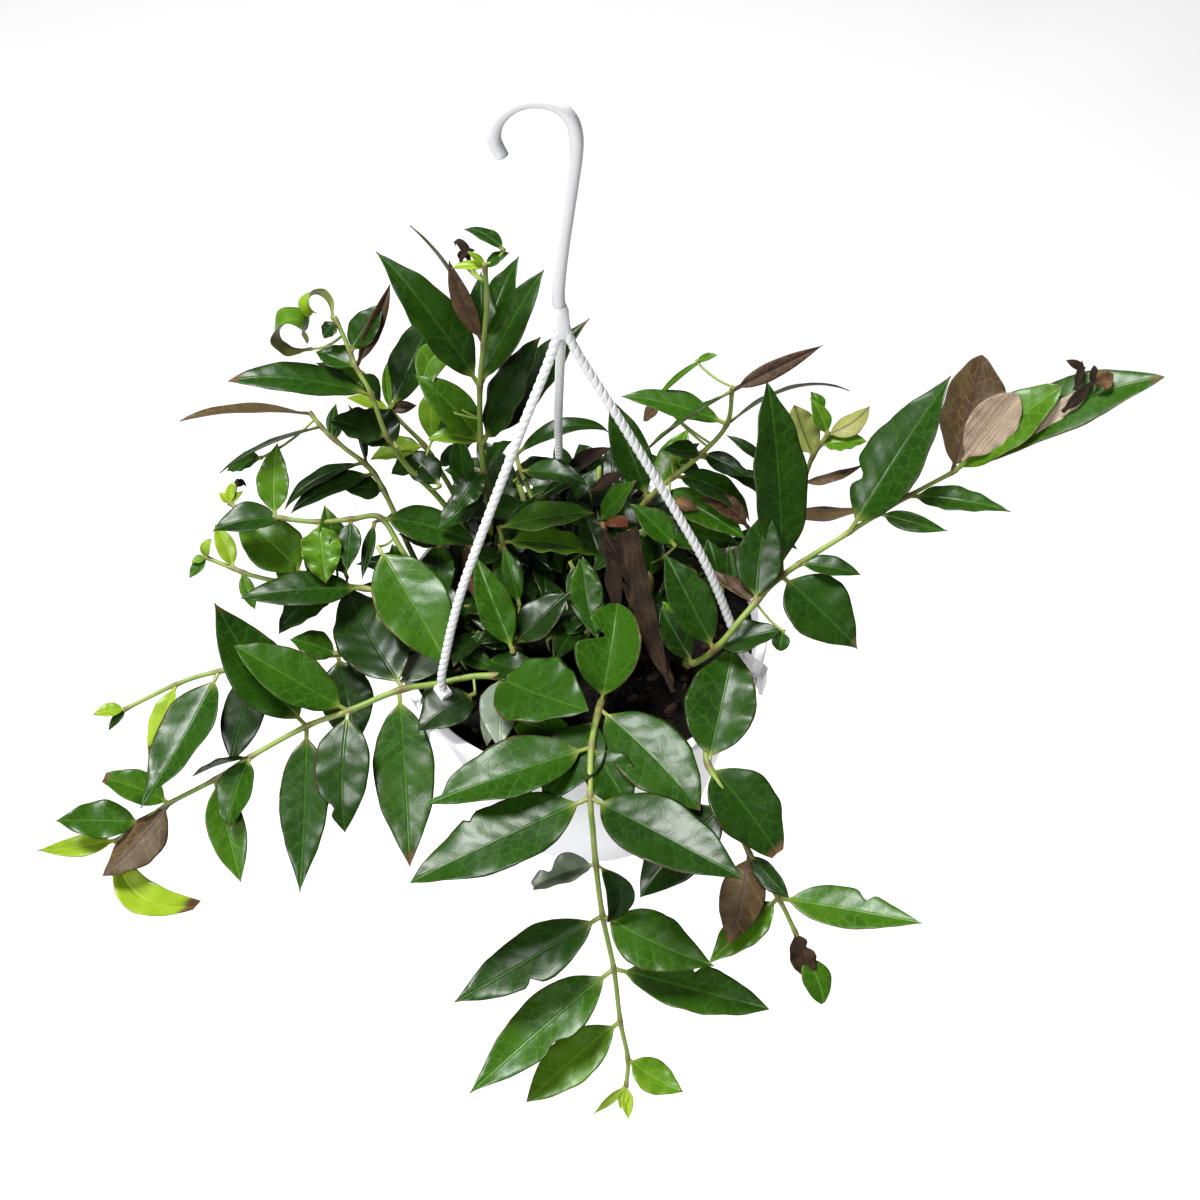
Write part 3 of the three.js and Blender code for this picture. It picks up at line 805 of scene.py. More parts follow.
# %% The potting mix
MIX_TOP = -9
MIX_EDGE = -11
MIX_BOTTOM = -118.7
MIX_GAP = 0.39
MIX_RINGS = 34
MIX_STEPS = 128
edge_radius = inner_radius(MIX_EDGE) - MIX_GAP
mix_outline = [(0, MIX_BOTTOM), (inner_radius(MIX_BOTTOM) - MIX_GAP, MIX_BOTTOM), (edge_radius, MIX_EDGE)]
for ring in range(1, MIX_RINGS):
    share = ring / MIX_RINGS
    height = MIX_EDGE + (MIX_TOP - MIX_EDGE) * math.sin(share * math.pi / 2)
    mix_outline.append((edge_radius * (1 - share), height))
mix_outline.append((0, MIX_TOP))
plug = lathe("plug", mix_outline, MIX_STEPS, mix_finish)
potting_mix = run_tree("peat", plug.data.copy(), mix_tree, {"Finish": mix_finish})
bpy.data.objects.remove(plug)
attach(potting_mix, "root")
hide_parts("potting_mix")
print(potting_mix.name, triangles_in(potting_mix), "triangles")

# %% [markdown]
# ## The net of veins
# The leaf of this plant is known by its net: a pale green mesh over dark green. Three things are laid
# over each other. The midrib is a line down the middle of the blade. The side veins leave it slantwise
# and arch towards the tip. Between them the net is drawn as the borders of scattered cells. All of it
# is measured in millimetres on the blade, so a small leaf has fewer cells and not smaller ones.

# %% The group that draws a leaf's veins
SIDE_VEIN_SPACING = 8.5
SIDE_VEIN_SLANT = 0.9
NET_CELLS_PER_MM = 0.2
SIDE_VEIN_ARCH = 0.012
SIDE_VEIN_WANDER_MM = 4.0
SIDE_VEIN_HALF_MM = 0.8
VEIN_START = 7.0
MIDRIB_HALF_MM = 1.0
NET_LINE = 0.14
WARP_MM = 3.4
WARP_SCALE = 0.09
FINE_WARP_MM = 1.5
FINE_WARP_SCALE = 0.4
BLOTCH_SCALE = 0.055
LEAVES_APART_MM = (971.0, 413.0)
MIDDLE = (0.5, 0.5, 0.5)

veins, given, leave = new_group(
    "Net of veins",
    {"Blade place": "NodeSocketVector", "Leaf number": "NodeSocketFloat"},
    ("Midrib", "Side veins", "Net", "Patch", "Blotch", "Bulge"),
)
spot = given["Blade place"].part("X")
off = given["Blade place"].part("Y").math("ABSOLUTE")
number = given["Leaf number"]
apart_x, apart_y = LEAVES_APART_MM
elsewhere = add(veins, "ShaderNodeCombineXYZ", {"X": number * apart_x, "Y": number * apart_y})
own_place = given["Blade place"].plus(elsewhere)


def drift(scale, detail):
    """A vector that drifts to and fro over the blade."""
    values = {"Vector": own_place, "Scale": scale, "Detail": detail}
    return add(veins, "ShaderNodeTexNoise", values, "Color").vector("SUBTRACT", MIDDLE)


def net_cells(feature, out):
    values = {"Vector": warped, "Scale": NET_CELLS_PER_MM}
    return add(veins, "ShaderNodeTexVoronoi", values, out, voronoi_dimensions="2D", feature=feature)


slow_drift = drift(WARP_SCALE, detail=2.0)
quick_drift = drift(FINE_WARP_SCALE, detail=1.0)
warped = own_place.plus(slow_drift.scaled(WARP_MM), quick_drift.scaled(FINE_WARP_MM))
wander = slow_drift.part("X") * SIDE_VEIN_WANDER_MM
arch = spot - off * SIDE_VEIN_SLANT + off * off * SIDE_VEIN_ARCH + wander
band = (arch / SIDE_VEIN_SPACING + number * VEIN_START).math("FRACT")
to_vein = (band - 0.5).math("ABSOLUTE") * SIDE_VEIN_SPACING
masks = {
    "Midrib": 1 - eased(off, 0.1, MIDRIB_HALF_MM),
    "Side veins": 1 - eased(to_vein, 0.0, SIDE_VEIN_HALF_MM),
    "Net": 1 - eased(net_cells("DISTANCE_TO_EDGE", "Distance"), 0.0, NET_LINE),
    "Patch": net_cells("F1", "Color").part("X"),
    "Blotch": noise(veins, own_place, BLOTCH_SCALE, detail=2.0),
    "Bulge": (band * turn).math("COSINE") * 0.5 + 0.5,
}
for label, mask in masks.items():
    feed(veins, leave.inputs[label], mask)


def vein_masks(tree):
    node = tree.nodes.new("ShaderNodeGroup")
    node.node_tree = veins
    feed(tree, node.inputs["Blade place"], attribute(tree, "blade_place", "Vector"))
    feed(tree, node.inputs["Leaf number"], attribute(tree, "leaf_number"))
    return {socket.name: Formula(tree, socket) for socket in node.outputs}


print("group", veins.name, "has", len(veins.nodes), "nodes")

# %% [markdown]
# ## The finish of the leaves
# A leaf goes from lime through bright green to a deep bottle green as it ages, so its greens are
# looked up by age. The underside of a grown leaf is maroon brown with a buff net; a young one is pale
# green there. A thin purple brown line runs round the margin, the base is yellowish, and some tips
# are scorched brown. The surface is waxy: it swells a little between the veins and has a soft gloss.


# %% The finish of the leaves
def ramp(share, stops):
    node = share.tree.nodes.new("ShaderNodeValToRGB")
    feed(share.tree, node.inputs["Fac"], share)
    elements = node.color_ramp.elements
    while len(elements) < len(stops):
        elements.new(0.5)
    for element, (place, code) in zip(elements, stops):
        element.position = place
        element.color = linear(code)
    return Formula(share.tree, node.outputs["Color"])


GROUND_BY_AGE = ((0.05, "87a322"), (0.3, "486f0e"), (0.55, "284e06"), (0.78, "1a3904"), (1.0, "0c1e03"))
NET_BY_AGE = ((0.05, "9aaf30"), (0.3, "6a8f23"), (0.55, "4c7620"), (0.78, "376117"), (1.0, "1a370d"))
UNDER_BY_AGE = ((0.05, "9bab53"), (0.35, "737339"), (0.6, "4c3e20"), (1.0, "382514"))
UNDER_NET_BY_AGE = ((0.05, "b6c177"), (0.35, "95915b"), (0.6, "7c6c47"), (1.0, "68533a"))
YELLOW_BASE = "a8b052"
UNDER_MIDRIB = "3a2226"
MARGIN = "4a2c2c"
SCORCH = "5b4028"
GREY_DUST = "a9b8a2"
AGE_PATCHINESS = 0.34
FAINTEST_NET = 0.2
MOST_NET = 0.85
SCORCH_RAGGEDNESS = 0.3
SCORCH_DULLNESS = 0.3
UNDERSIDE_DULLNESS = 0.2

LEAF_FINISH, tree, surface = new_finish("foliage")
mask = vein_masks(tree)
age = attribute(tree, "age")
across = attribute(tree, "across")
station = attribute(tree, "station")
wax = mask["Blotch"]
shown_age = age + (wax - 0.5) * AGE_PATCHINESS
ground = ramp(shown_age, GROUND_BY_AGE)
pale = ramp(shown_age, NET_BY_AGE)
faintness = eased(wax, 0.34, 0.6) * (1 - FAINTEST_NET) + FAINTEST_NET


def vein_share(net, side, patch):
    """How much of the pale colour shows at each place of the net."""
    return (mask["Net"] * net + mask["Side veins"] * side) * faintness + mask["Patch"] * patch


pale_share = vein_share(net=0.32, side=0.3, patch=0.1).math("MINIMUM", MOST_NET)
upper = mixed(pale_share, ground, pale)
upper = mixed(mask["Midrib"] * 0.45, upper, pale)
yellow_base = (1 - eased(station, 0.04, 0.16)) * 0.4
upper = mixed(yellow_base, upper, linear(YELLOW_BASE))

under_ground = ramp(shown_age, UNDER_BY_AGE)
under_net = ramp(shown_age, UNDER_NET_BY_AGE)
lower = mixed(vein_share(net=0.28, side=0.35, patch=0.2), under_ground, under_net)
lower = mixed(mask["Midrib"] * 0.6, lower, linear(UNDER_MIDRIB))
shown_side = (attribute(tree, "under") - attribute(tree, "turned_over")).math("ABSOLUTE")
brown_side = eased(shown_side, 0.35, 0.65)
both_sides = mixed(brown_side, upper, lower)

at_margin = eased(across.math("ABSOLUTE"), 0.95, 1.0) * eased(station, 0.08, 0.2) * 0.3
both_sides = mixed(at_margin, both_sides, linear(MARGIN))
scorch_at = station + (wax - 0.5) * SCORCH_RAGGEDNESS + attribute(tree, "scorch")
scorched = eased(scorch_at, 0.96, 1.04)
both_sides = mixed(scorched, both_sides, linear(SCORCH))
dusty = attribute(tree, "dust") * eased(wax, 0.25, 0.6)
both_sides = mixed(dusty, both_sides, linear(GREY_DUST))

relief = mask["Bulge"] * 0.35 + wax * 3.0 - mask["Midrib"] * 0.8 - mask["Net"] * 0.05
dullness = scorched * SCORCH_DULLNESS + brown_side * UNDERSIDE_DULLNESS
broad, fine = unevenness(tree, broad_scale=60.0, grain_scale=2600.0)
set_surface(surface, {
    "Base Color": both_sides,
    "Normal": bump(tree, relief + fine * 0.08, strength=0.5, distance=0.0005),
    "Roughness": blended(broad, 0.26, 0.38) + dullness,
    "Specular IOR Level": 0.27,
    "Subsurface Weight": 0.1,
    "Subsurface Radius": (0.001, 0.0014, 0.0004),
})
print("finish:", LEAF_FINISH.name)

# %% [markdown]
# A dry leaf is tan to dark brown in long streaks and badly wrinkled, and a withered one is charred
# nearly black. A stem is yellowish green, with brown rings where leaves have sat.

# %% Dry leaf and stem finishes
DRY_BY_STREAK = ((0.35, "2a1c12"), (0.55, "59402a"), (0.75, "8c6e4c"))
DRY_VEIN = "2e211b"
WITHERED = "0e0a08"
RUST = "5c2a12"
PALE_DUST = "b9a892"
STREAK_SCALE = (0.03, 0.55, 1.0)
STEM_GREENS = ("6f8a35", "8a9a4a")
KNOT_BROWN = "6a5038"

DRY_FINISH, tree, surface = new_finish("dry_foliage")
mask = vein_masks(tree)
place = add(tree, "ShaderNodeTexCoord", out="Object")
broad, fine = unevenness(tree, broad_scale=120.0, grain_scale=1500.0)
on_blade = attribute(tree, "blade_place", "Vector")
stretched = on_blade.vector("MULTIPLY", STREAK_SCALE).plus(place.scaled(9.0))
streaks = noise(tree, stretched, scale=1.0, detail=5.0, roughness=0.7)
tan = ramp(streaks * 0.65 + broad * 0.5, DRY_BY_STREAK)
wrinkled = mixed(mask["Net"] * 0.1 + mask["Side veins"] * 0.1, tan, linear(DRY_VEIN))
wrinkled = mixed(attribute(tree, "char"), wrinkled, linear(WITHERED))
rusty = eased(attribute(tree, "scorch"), 0.5, 1.0) * eased(broad, 0.3, 0.6)
wrinkled = mixed(rusty, wrinkled, linear(RUST))
dry_relief = streaks * 3.0 + broad + fine * 0.3
set_surface(surface, {
    "Base Color": mixed(attribute(tree, "dust"), wrinkled, linear(PALE_DUST)),
    "Roughness": blended(fine, 0.7, 0.95),
    "Specular IOR Level": 0.2,
    "Normal": bump(tree, dry_relief, strength=0.9, distance=0.0008),
})

STEM_FINISH, tree, surface = new_finish("stem_skin")
broad, fine = unevenness(tree, broad_scale=70.0, grain_scale=900.0)
green = mixed(eased(broad, 0.3, 0.7), *(linear(code) for code in STEM_GREENS))
knotty = attribute(tree, "knot") * 0.75 + eased(fine, 0.62, 0.8) * 0.3
set_surface(surface, {
    "Base Color": mixed(knotty, green, linear(KNOT_BROWN)),
    "Roughness": blended(broad, 0.42, 0.62),
    "Normal": bump(tree, fine, strength=0.4, distance=0.0004),
    "Subsurface Weight": 0.08,
    "Subsurface Radius": (0.001, 0.0012, 0.0005),
})
print("finishes:", DRY_FINISH.name, STEM_FINISH.name)

# %% [markdown]
# ## The leafy stem
# One tree makes a whole stem with its leaves. Its base mesh holds two things: a chain of points along
# the stem, each with its radius, and one loose point for each leaf, with that leaf's numbers. The
# chain becomes a tube. At each loose point a blank blade is placed: a tube of rings along a unit
# line. Formulas then bend and flatten the blank.

# %% The tree of a leafy stem
BLADE_STEPS = 38
BLADE_ROUND = 18
CURL_POWER = 1.6
PETIOLE_END = 0.08
OUTLINE_RISE = 0.75
STEM_ROUND = 14
LEAF_VALUES = (
    "heading", "pitch", "roll", "bow", "blade_length", "blade_width", "age", "dry", "turned_over",
    "fold", "wave", "wave_count", "phase", "twist", "sweep", "cut", "notch_side", "notch_at",
    "notch_depth", "notch_span", "scorch", "dust", "char", "fall", "swell_most", "leaf_number",
    "leaf_index",
)

LEAF_SIZES = {
    "Blade steps": BLADE_STEPS, "Points round": BLADE_ROUND, "Petiole half width": 0.0010,
    "Tip half width": 0.0002, "Petiole thickness": 0.0008, "Blade thickness": 0.00042,
    "Edge wobble": 0.1, "Midrib groove": 0.00025,
}
leafy_tree, given = new_tree("Leafy stem", LEAF_SIZES, ["Stem finish", "Leaf finish", "Dry finish"])


def read(name, kind="FLOAT"):
    return add(leafy_tree, "GeometryNodeInputNamedAttribute", {"Name": name}, "Attribute", data_type=kind)


def circle(points, radius):
    values = {"Resolution": points, "Radius": radius}
    return add(leafy_tree, "GeometryNodeCurvePrimitiveCircle", values, "Curve")


stalk = add(leafy_tree, "GeometryNodeMeshToCurve", {"Mesh": given["Geometry"]})
section = circle(STEM_ROUND, 1.0)
stalk = add(
    leafy_tree, "GeometryNodeCurveToMesh",
    {"Curve": stalk, "Profile Curve": section, "Scale": read("stem_radius"), "Fill Caps": True},
)
stalk = add(leafy_tree, "GeometryNodeSetMaterial", {"Geometry": stalk, "Material": given["Stem finish"]})

spine = add(leafy_tree, "GeometryNodeCurvePrimitiveLine", {"End": (1.0, 0.0, 0.0)}, "Curve")
points = {"Curve": spine, "Count": given["Blade steps"] + 1}
spine = add(leafy_tree, "GeometryNodeResampleCurve", points, mode="COUNT")
spine_share = add(leafy_tree, "GeometryNodeSplineParameter", out="Factor")
spine = store(leafy_tree, spine, "station", spine_share)
ring_share = add(leafy_tree, "GeometryNodeSplineParameter", out="Factor")
ring = store(leafy_tree, circle(given["Points round"], 0.01), "share_round", ring_share)
blank = add(
    leafy_tree, "GeometryNodeCurveToMesh", {"Curve": spine, "Profile Curve": ring, "Fill Caps": True},
)
root_place = add(leafy_tree, "GeometryNodeInputPosition")
rooted = store(leafy_tree, given["Geometry"], "root_place", root_place, "FLOAT_VECTOR")
is_leaf = read("leaf_index") > -0.5
blades = add(
    leafy_tree, "GeometryNodeInstanceOnPoints",
    {"Points": rooted, "Selection": is_leaf, "Instance": blank},
)
blades = add(leafy_tree, "GeometryNodeRealizeInstances", {"Geometry": blades})

print("stalk and blank blades:", len(leafy_tree.nodes), "nodes")

# %% [markdown]
# Along the blade a running sum of small steps gives the curl, and each step turns a little more than
# the last, so a blade bends most near its tip. The sum is then laid along the leaf's chord, which has
# a heading and a pitch, and the blade is rolled about the chord and twisted towards its tip.

# %% The curl and the turn of a blade
leaf = {name: read(name) for name in LEAF_VALUES}
station = read("station")
share_round = read("share_round")
step_share = 1 / given["Blade steps"]

middle_of_step = (station - step_share * 0.5).math("MAXIMUM", 0.0)
slope = middle_of_step ** CURL_POWER * leaf["bow"] * -1
moving = station > step_share * 0.5
chain = leaf["leaf_index"] * given["Points round"] + share_round * given["Points round"] + 0.5


def running_sum(value):
    node = leafy_tree.nodes.new("GeometryNodeAccumulateField")
    feed(leafy_tree, node.inputs["Value"], value)
    feed(leafy_tree, node.inputs["Group ID"], chain)
    return Formula(leafy_tree, node.outputs["Leading"]), Formula(leafy_tree, node.outputs["Total"])


reach, whole_reach = running_sum(slope.math("COSINE") * step_share * moving)
rise, whole_rise = running_sum(slope.math("SINE") * step_share * moving)
chord_length = (whole_reach * whole_reach + whole_rise * whole_rise).math("SQRT")
tilt = whole_rise.math("ARCTAN2", whole_reach)
along = (reach * tilt.math("COSINE") + rise * tilt.math("SINE")) / chord_length
above = (rise * tilt.math("COSINE") - reach * tilt.math("SINE")) / chord_length
slope_here = station ** CURL_POWER * leaf["bow"] * -1 - tilt


def direction(x, y, z=0.0):
    return add(leafy_tree, "ShaderNodeCombineXYZ", {"X": x, "Y": y, "Z": z})


cos_heading = leaf["heading"].math("COSINE")
sin_heading = leaf["heading"].math("SINE")
cos_pitch = leaf["pitch"].math("COSINE")
chord = direction(cos_pitch * cos_heading, cos_pitch * sin_heading, leaf["pitch"].math("SINE"))
level = direction(sin_heading * -1, cos_heading)
side = level.scaled(leaf["roll"].math("COSINE")).plus(chord.cross(level).scaled(leaf["roll"].math("SINE")))
crown = chord.cross(side)
facing = crown.scaled(slope_here.math("COSINE")).plus(chord.scaled(slope_here.math("SINE") * -1))
turned = leaf["twist"] * station
side_here = side.scaled(turned.math("COSINE")).plus(facing.scaled(turned.math("SINE")))
facing = facing.scaled(turned.math("COSINE")).plus(side.scaled(turned.math("SINE") * -1))
print("with the curl:", len(leafy_tree.nodes), "nodes")

# %% [markdown]
# The outline is one curve that rises fast from the petiole and falls slowly to a point. The margin
# wobbles a little, a few leaves have a bite out of one side, and some end bluntly. Across, the blade
# folds up from its midrib, its edges ripple, and a groove runs down the middle.

# %% The outline and the cross-section of a blade
ACROSS_POWER = 1.4
THROUGH_POWER = 0.55
WOBBLES_PER_METRE = 90.0
SIDES_APART = 7.0
LEAVES_APART = 57.0
BITE_RAGGEDNESS = 5.0
TIP_THINNING = 0.6
RIPPLE_LAG = 0.17
GROOVE_HALF_WIDTH = 0.0009
MIDRIB_SOFTNESS = 0.1
METRES_TO_MM = 1000.0

round_angle = share_round * turn
cosine = round_angle.math("COSINE")
sine = round_angle.math("SINE")
which_side = cosine.math("SIGN")
upper_side = sine.math("SIGN")
across = which_side * cosine.math("ABSOLUTE") ** ACROSS_POWER
blade_share = ((station - PETIOLE_END) / (1 - PETIOLE_END)).math("MAXIMUM", 0.0) * leaf["cut"]
swell = blade_share ** OUTLINE_RISE * (1 - blade_share).math("MAXIMUM", 0.0) ** leaf["fall"]
swell = swell / leaf["swell_most"]
edge_spot = direction(
    station * leaf["blade_length"] * WOBBLES_PER_METRE, which_side * SIDES_APART,
    leaf["leaf_number"] * LEAVES_APART,
)
wobble = (noise(leafy_tree, edge_spot, scale=1.0, detail=4.0) - 0.5) * 2.0 * given["Edge wobble"]
from_notch = (station - leaf["notch_at"]) / leaf["notch_span"]
bite = (from_notch * from_notch * -1).math("EXPONENT") * leaf["notch_depth"]
bite = bite * (which_side * leaf["notch_side"]).math("MAXIMUM", 0.0)
ragged = 1 + wobble * (1 + bite * BITE_RAGGEDNESS)
half = leaf["blade_width"] * 0.5 * swell * ragged * (1 - bite)
least = blended(eased(station, 0.0, 0.9), given["Petiole half width"], given["Tip half width"])
half = half.math("MAXIMUM", least)
thickness = blended(eased(station, 0.03, 0.14), given["Petiole thickness"], given["Blade thickness"])
thickness = thickness * blended(eased(station, 0.85, 1.0), 1.0, TIP_THINNING)
through = upper_side * sine.math("ABSOLUTE") ** THROUGH_POWER * thickness

in_blade = eased(station, 0.05, 0.16)
out = across * half
spread = (across * across + MIDRIB_SOFTNESS ** 2).math("SQRT") - MIDRIB_SOFTNESS
folded = spread * half * leaf["fold"].math("SINE") * in_blade
ripple_at = (station * leaf["wave_count"] + leaf["phase"] + which_side * RIPPLE_LAG) * turn
ripple = ripple_at.math("SINE") * leaf["wave"] * across * across * in_blade * eased(half, 0.0, 0.006)
groove_at = out / GROOVE_HALF_WIDTH
groove = (groove_at * groove_at * -1).math("EXPONENT") * given["Midrib groove"] * in_blade * -1
lift = through + folded + ripple + groove
bent = station * (1 - station) * 4.0 * leaf["sweep"] * leaf["blade_length"]
width_here = out * leaf["fold"].math("COSINE") + bent

place = read("root_place", "FLOAT_VECTOR").plus(
    chord.scaled(along * leaf["blade_length"]),
    crown.scaled(above * leaf["blade_length"]),
    side_here.scaled(width_here),
    facing.scaled(lift),
)
blades = add(leafy_tree, "GeometryNodeSetPosition", {"Geometry": blades, "Position": place})
on_blade = direction(station * leaf["blade_length"] * METRES_TO_MM, out * METRES_TO_MM)
blades = store(leafy_tree, blades, "blade_place", on_blade, "FLOAT_VECTOR")
blades = store(leafy_tree, blades, "across", across)
blades = store(leafy_tree, blades, "under", 0.5 - upper_side * 0.5)
blades = add(leafy_tree, "GeometryNodeSetMaterial", {"Geometry": blades, "Material": given["Leaf finish"]})
blades = add(
    leafy_tree, "GeometryNodeSetMaterial",
    {"Geometry": blades, "Selection": read("dry") > 0.5, "Material": given["Dry finish"]},
)
together = leafy_tree.nodes.new("GeometryNodeJoinGeometry")
for part in (stalk, blades):
    leafy_tree.links.new(part.socket, together.inputs[0])
both = Formula(leafy_tree, together.outputs[0])
close_tree(leafy_tree, add(leafy_tree, "GeometryNodeSetShadeSmooth", {"Geometry": both}))

# %% [markdown]
# ## Where every stem and leaf is
# Each stem is written down as a route and its leaves. A route point is (across, back, height) in
# millimetres from the middle of the rim, and one without a height lies just over the surface of the
# potting mix. A leaf is: its place along the route counted in points, the heading and the pitch of
# its chord in degrees, its length and width, how far it curls in degrees, how far it is rolled
# about its chord, and its tone. A tone up to 1 is an age. A tone between 1 and 1.4 is a grown leaf
# that shows its brown underside, from 1.4 the leaf is dry, near 1.7 it is withered black, and 2 is a
# grown leaf under grey dust.

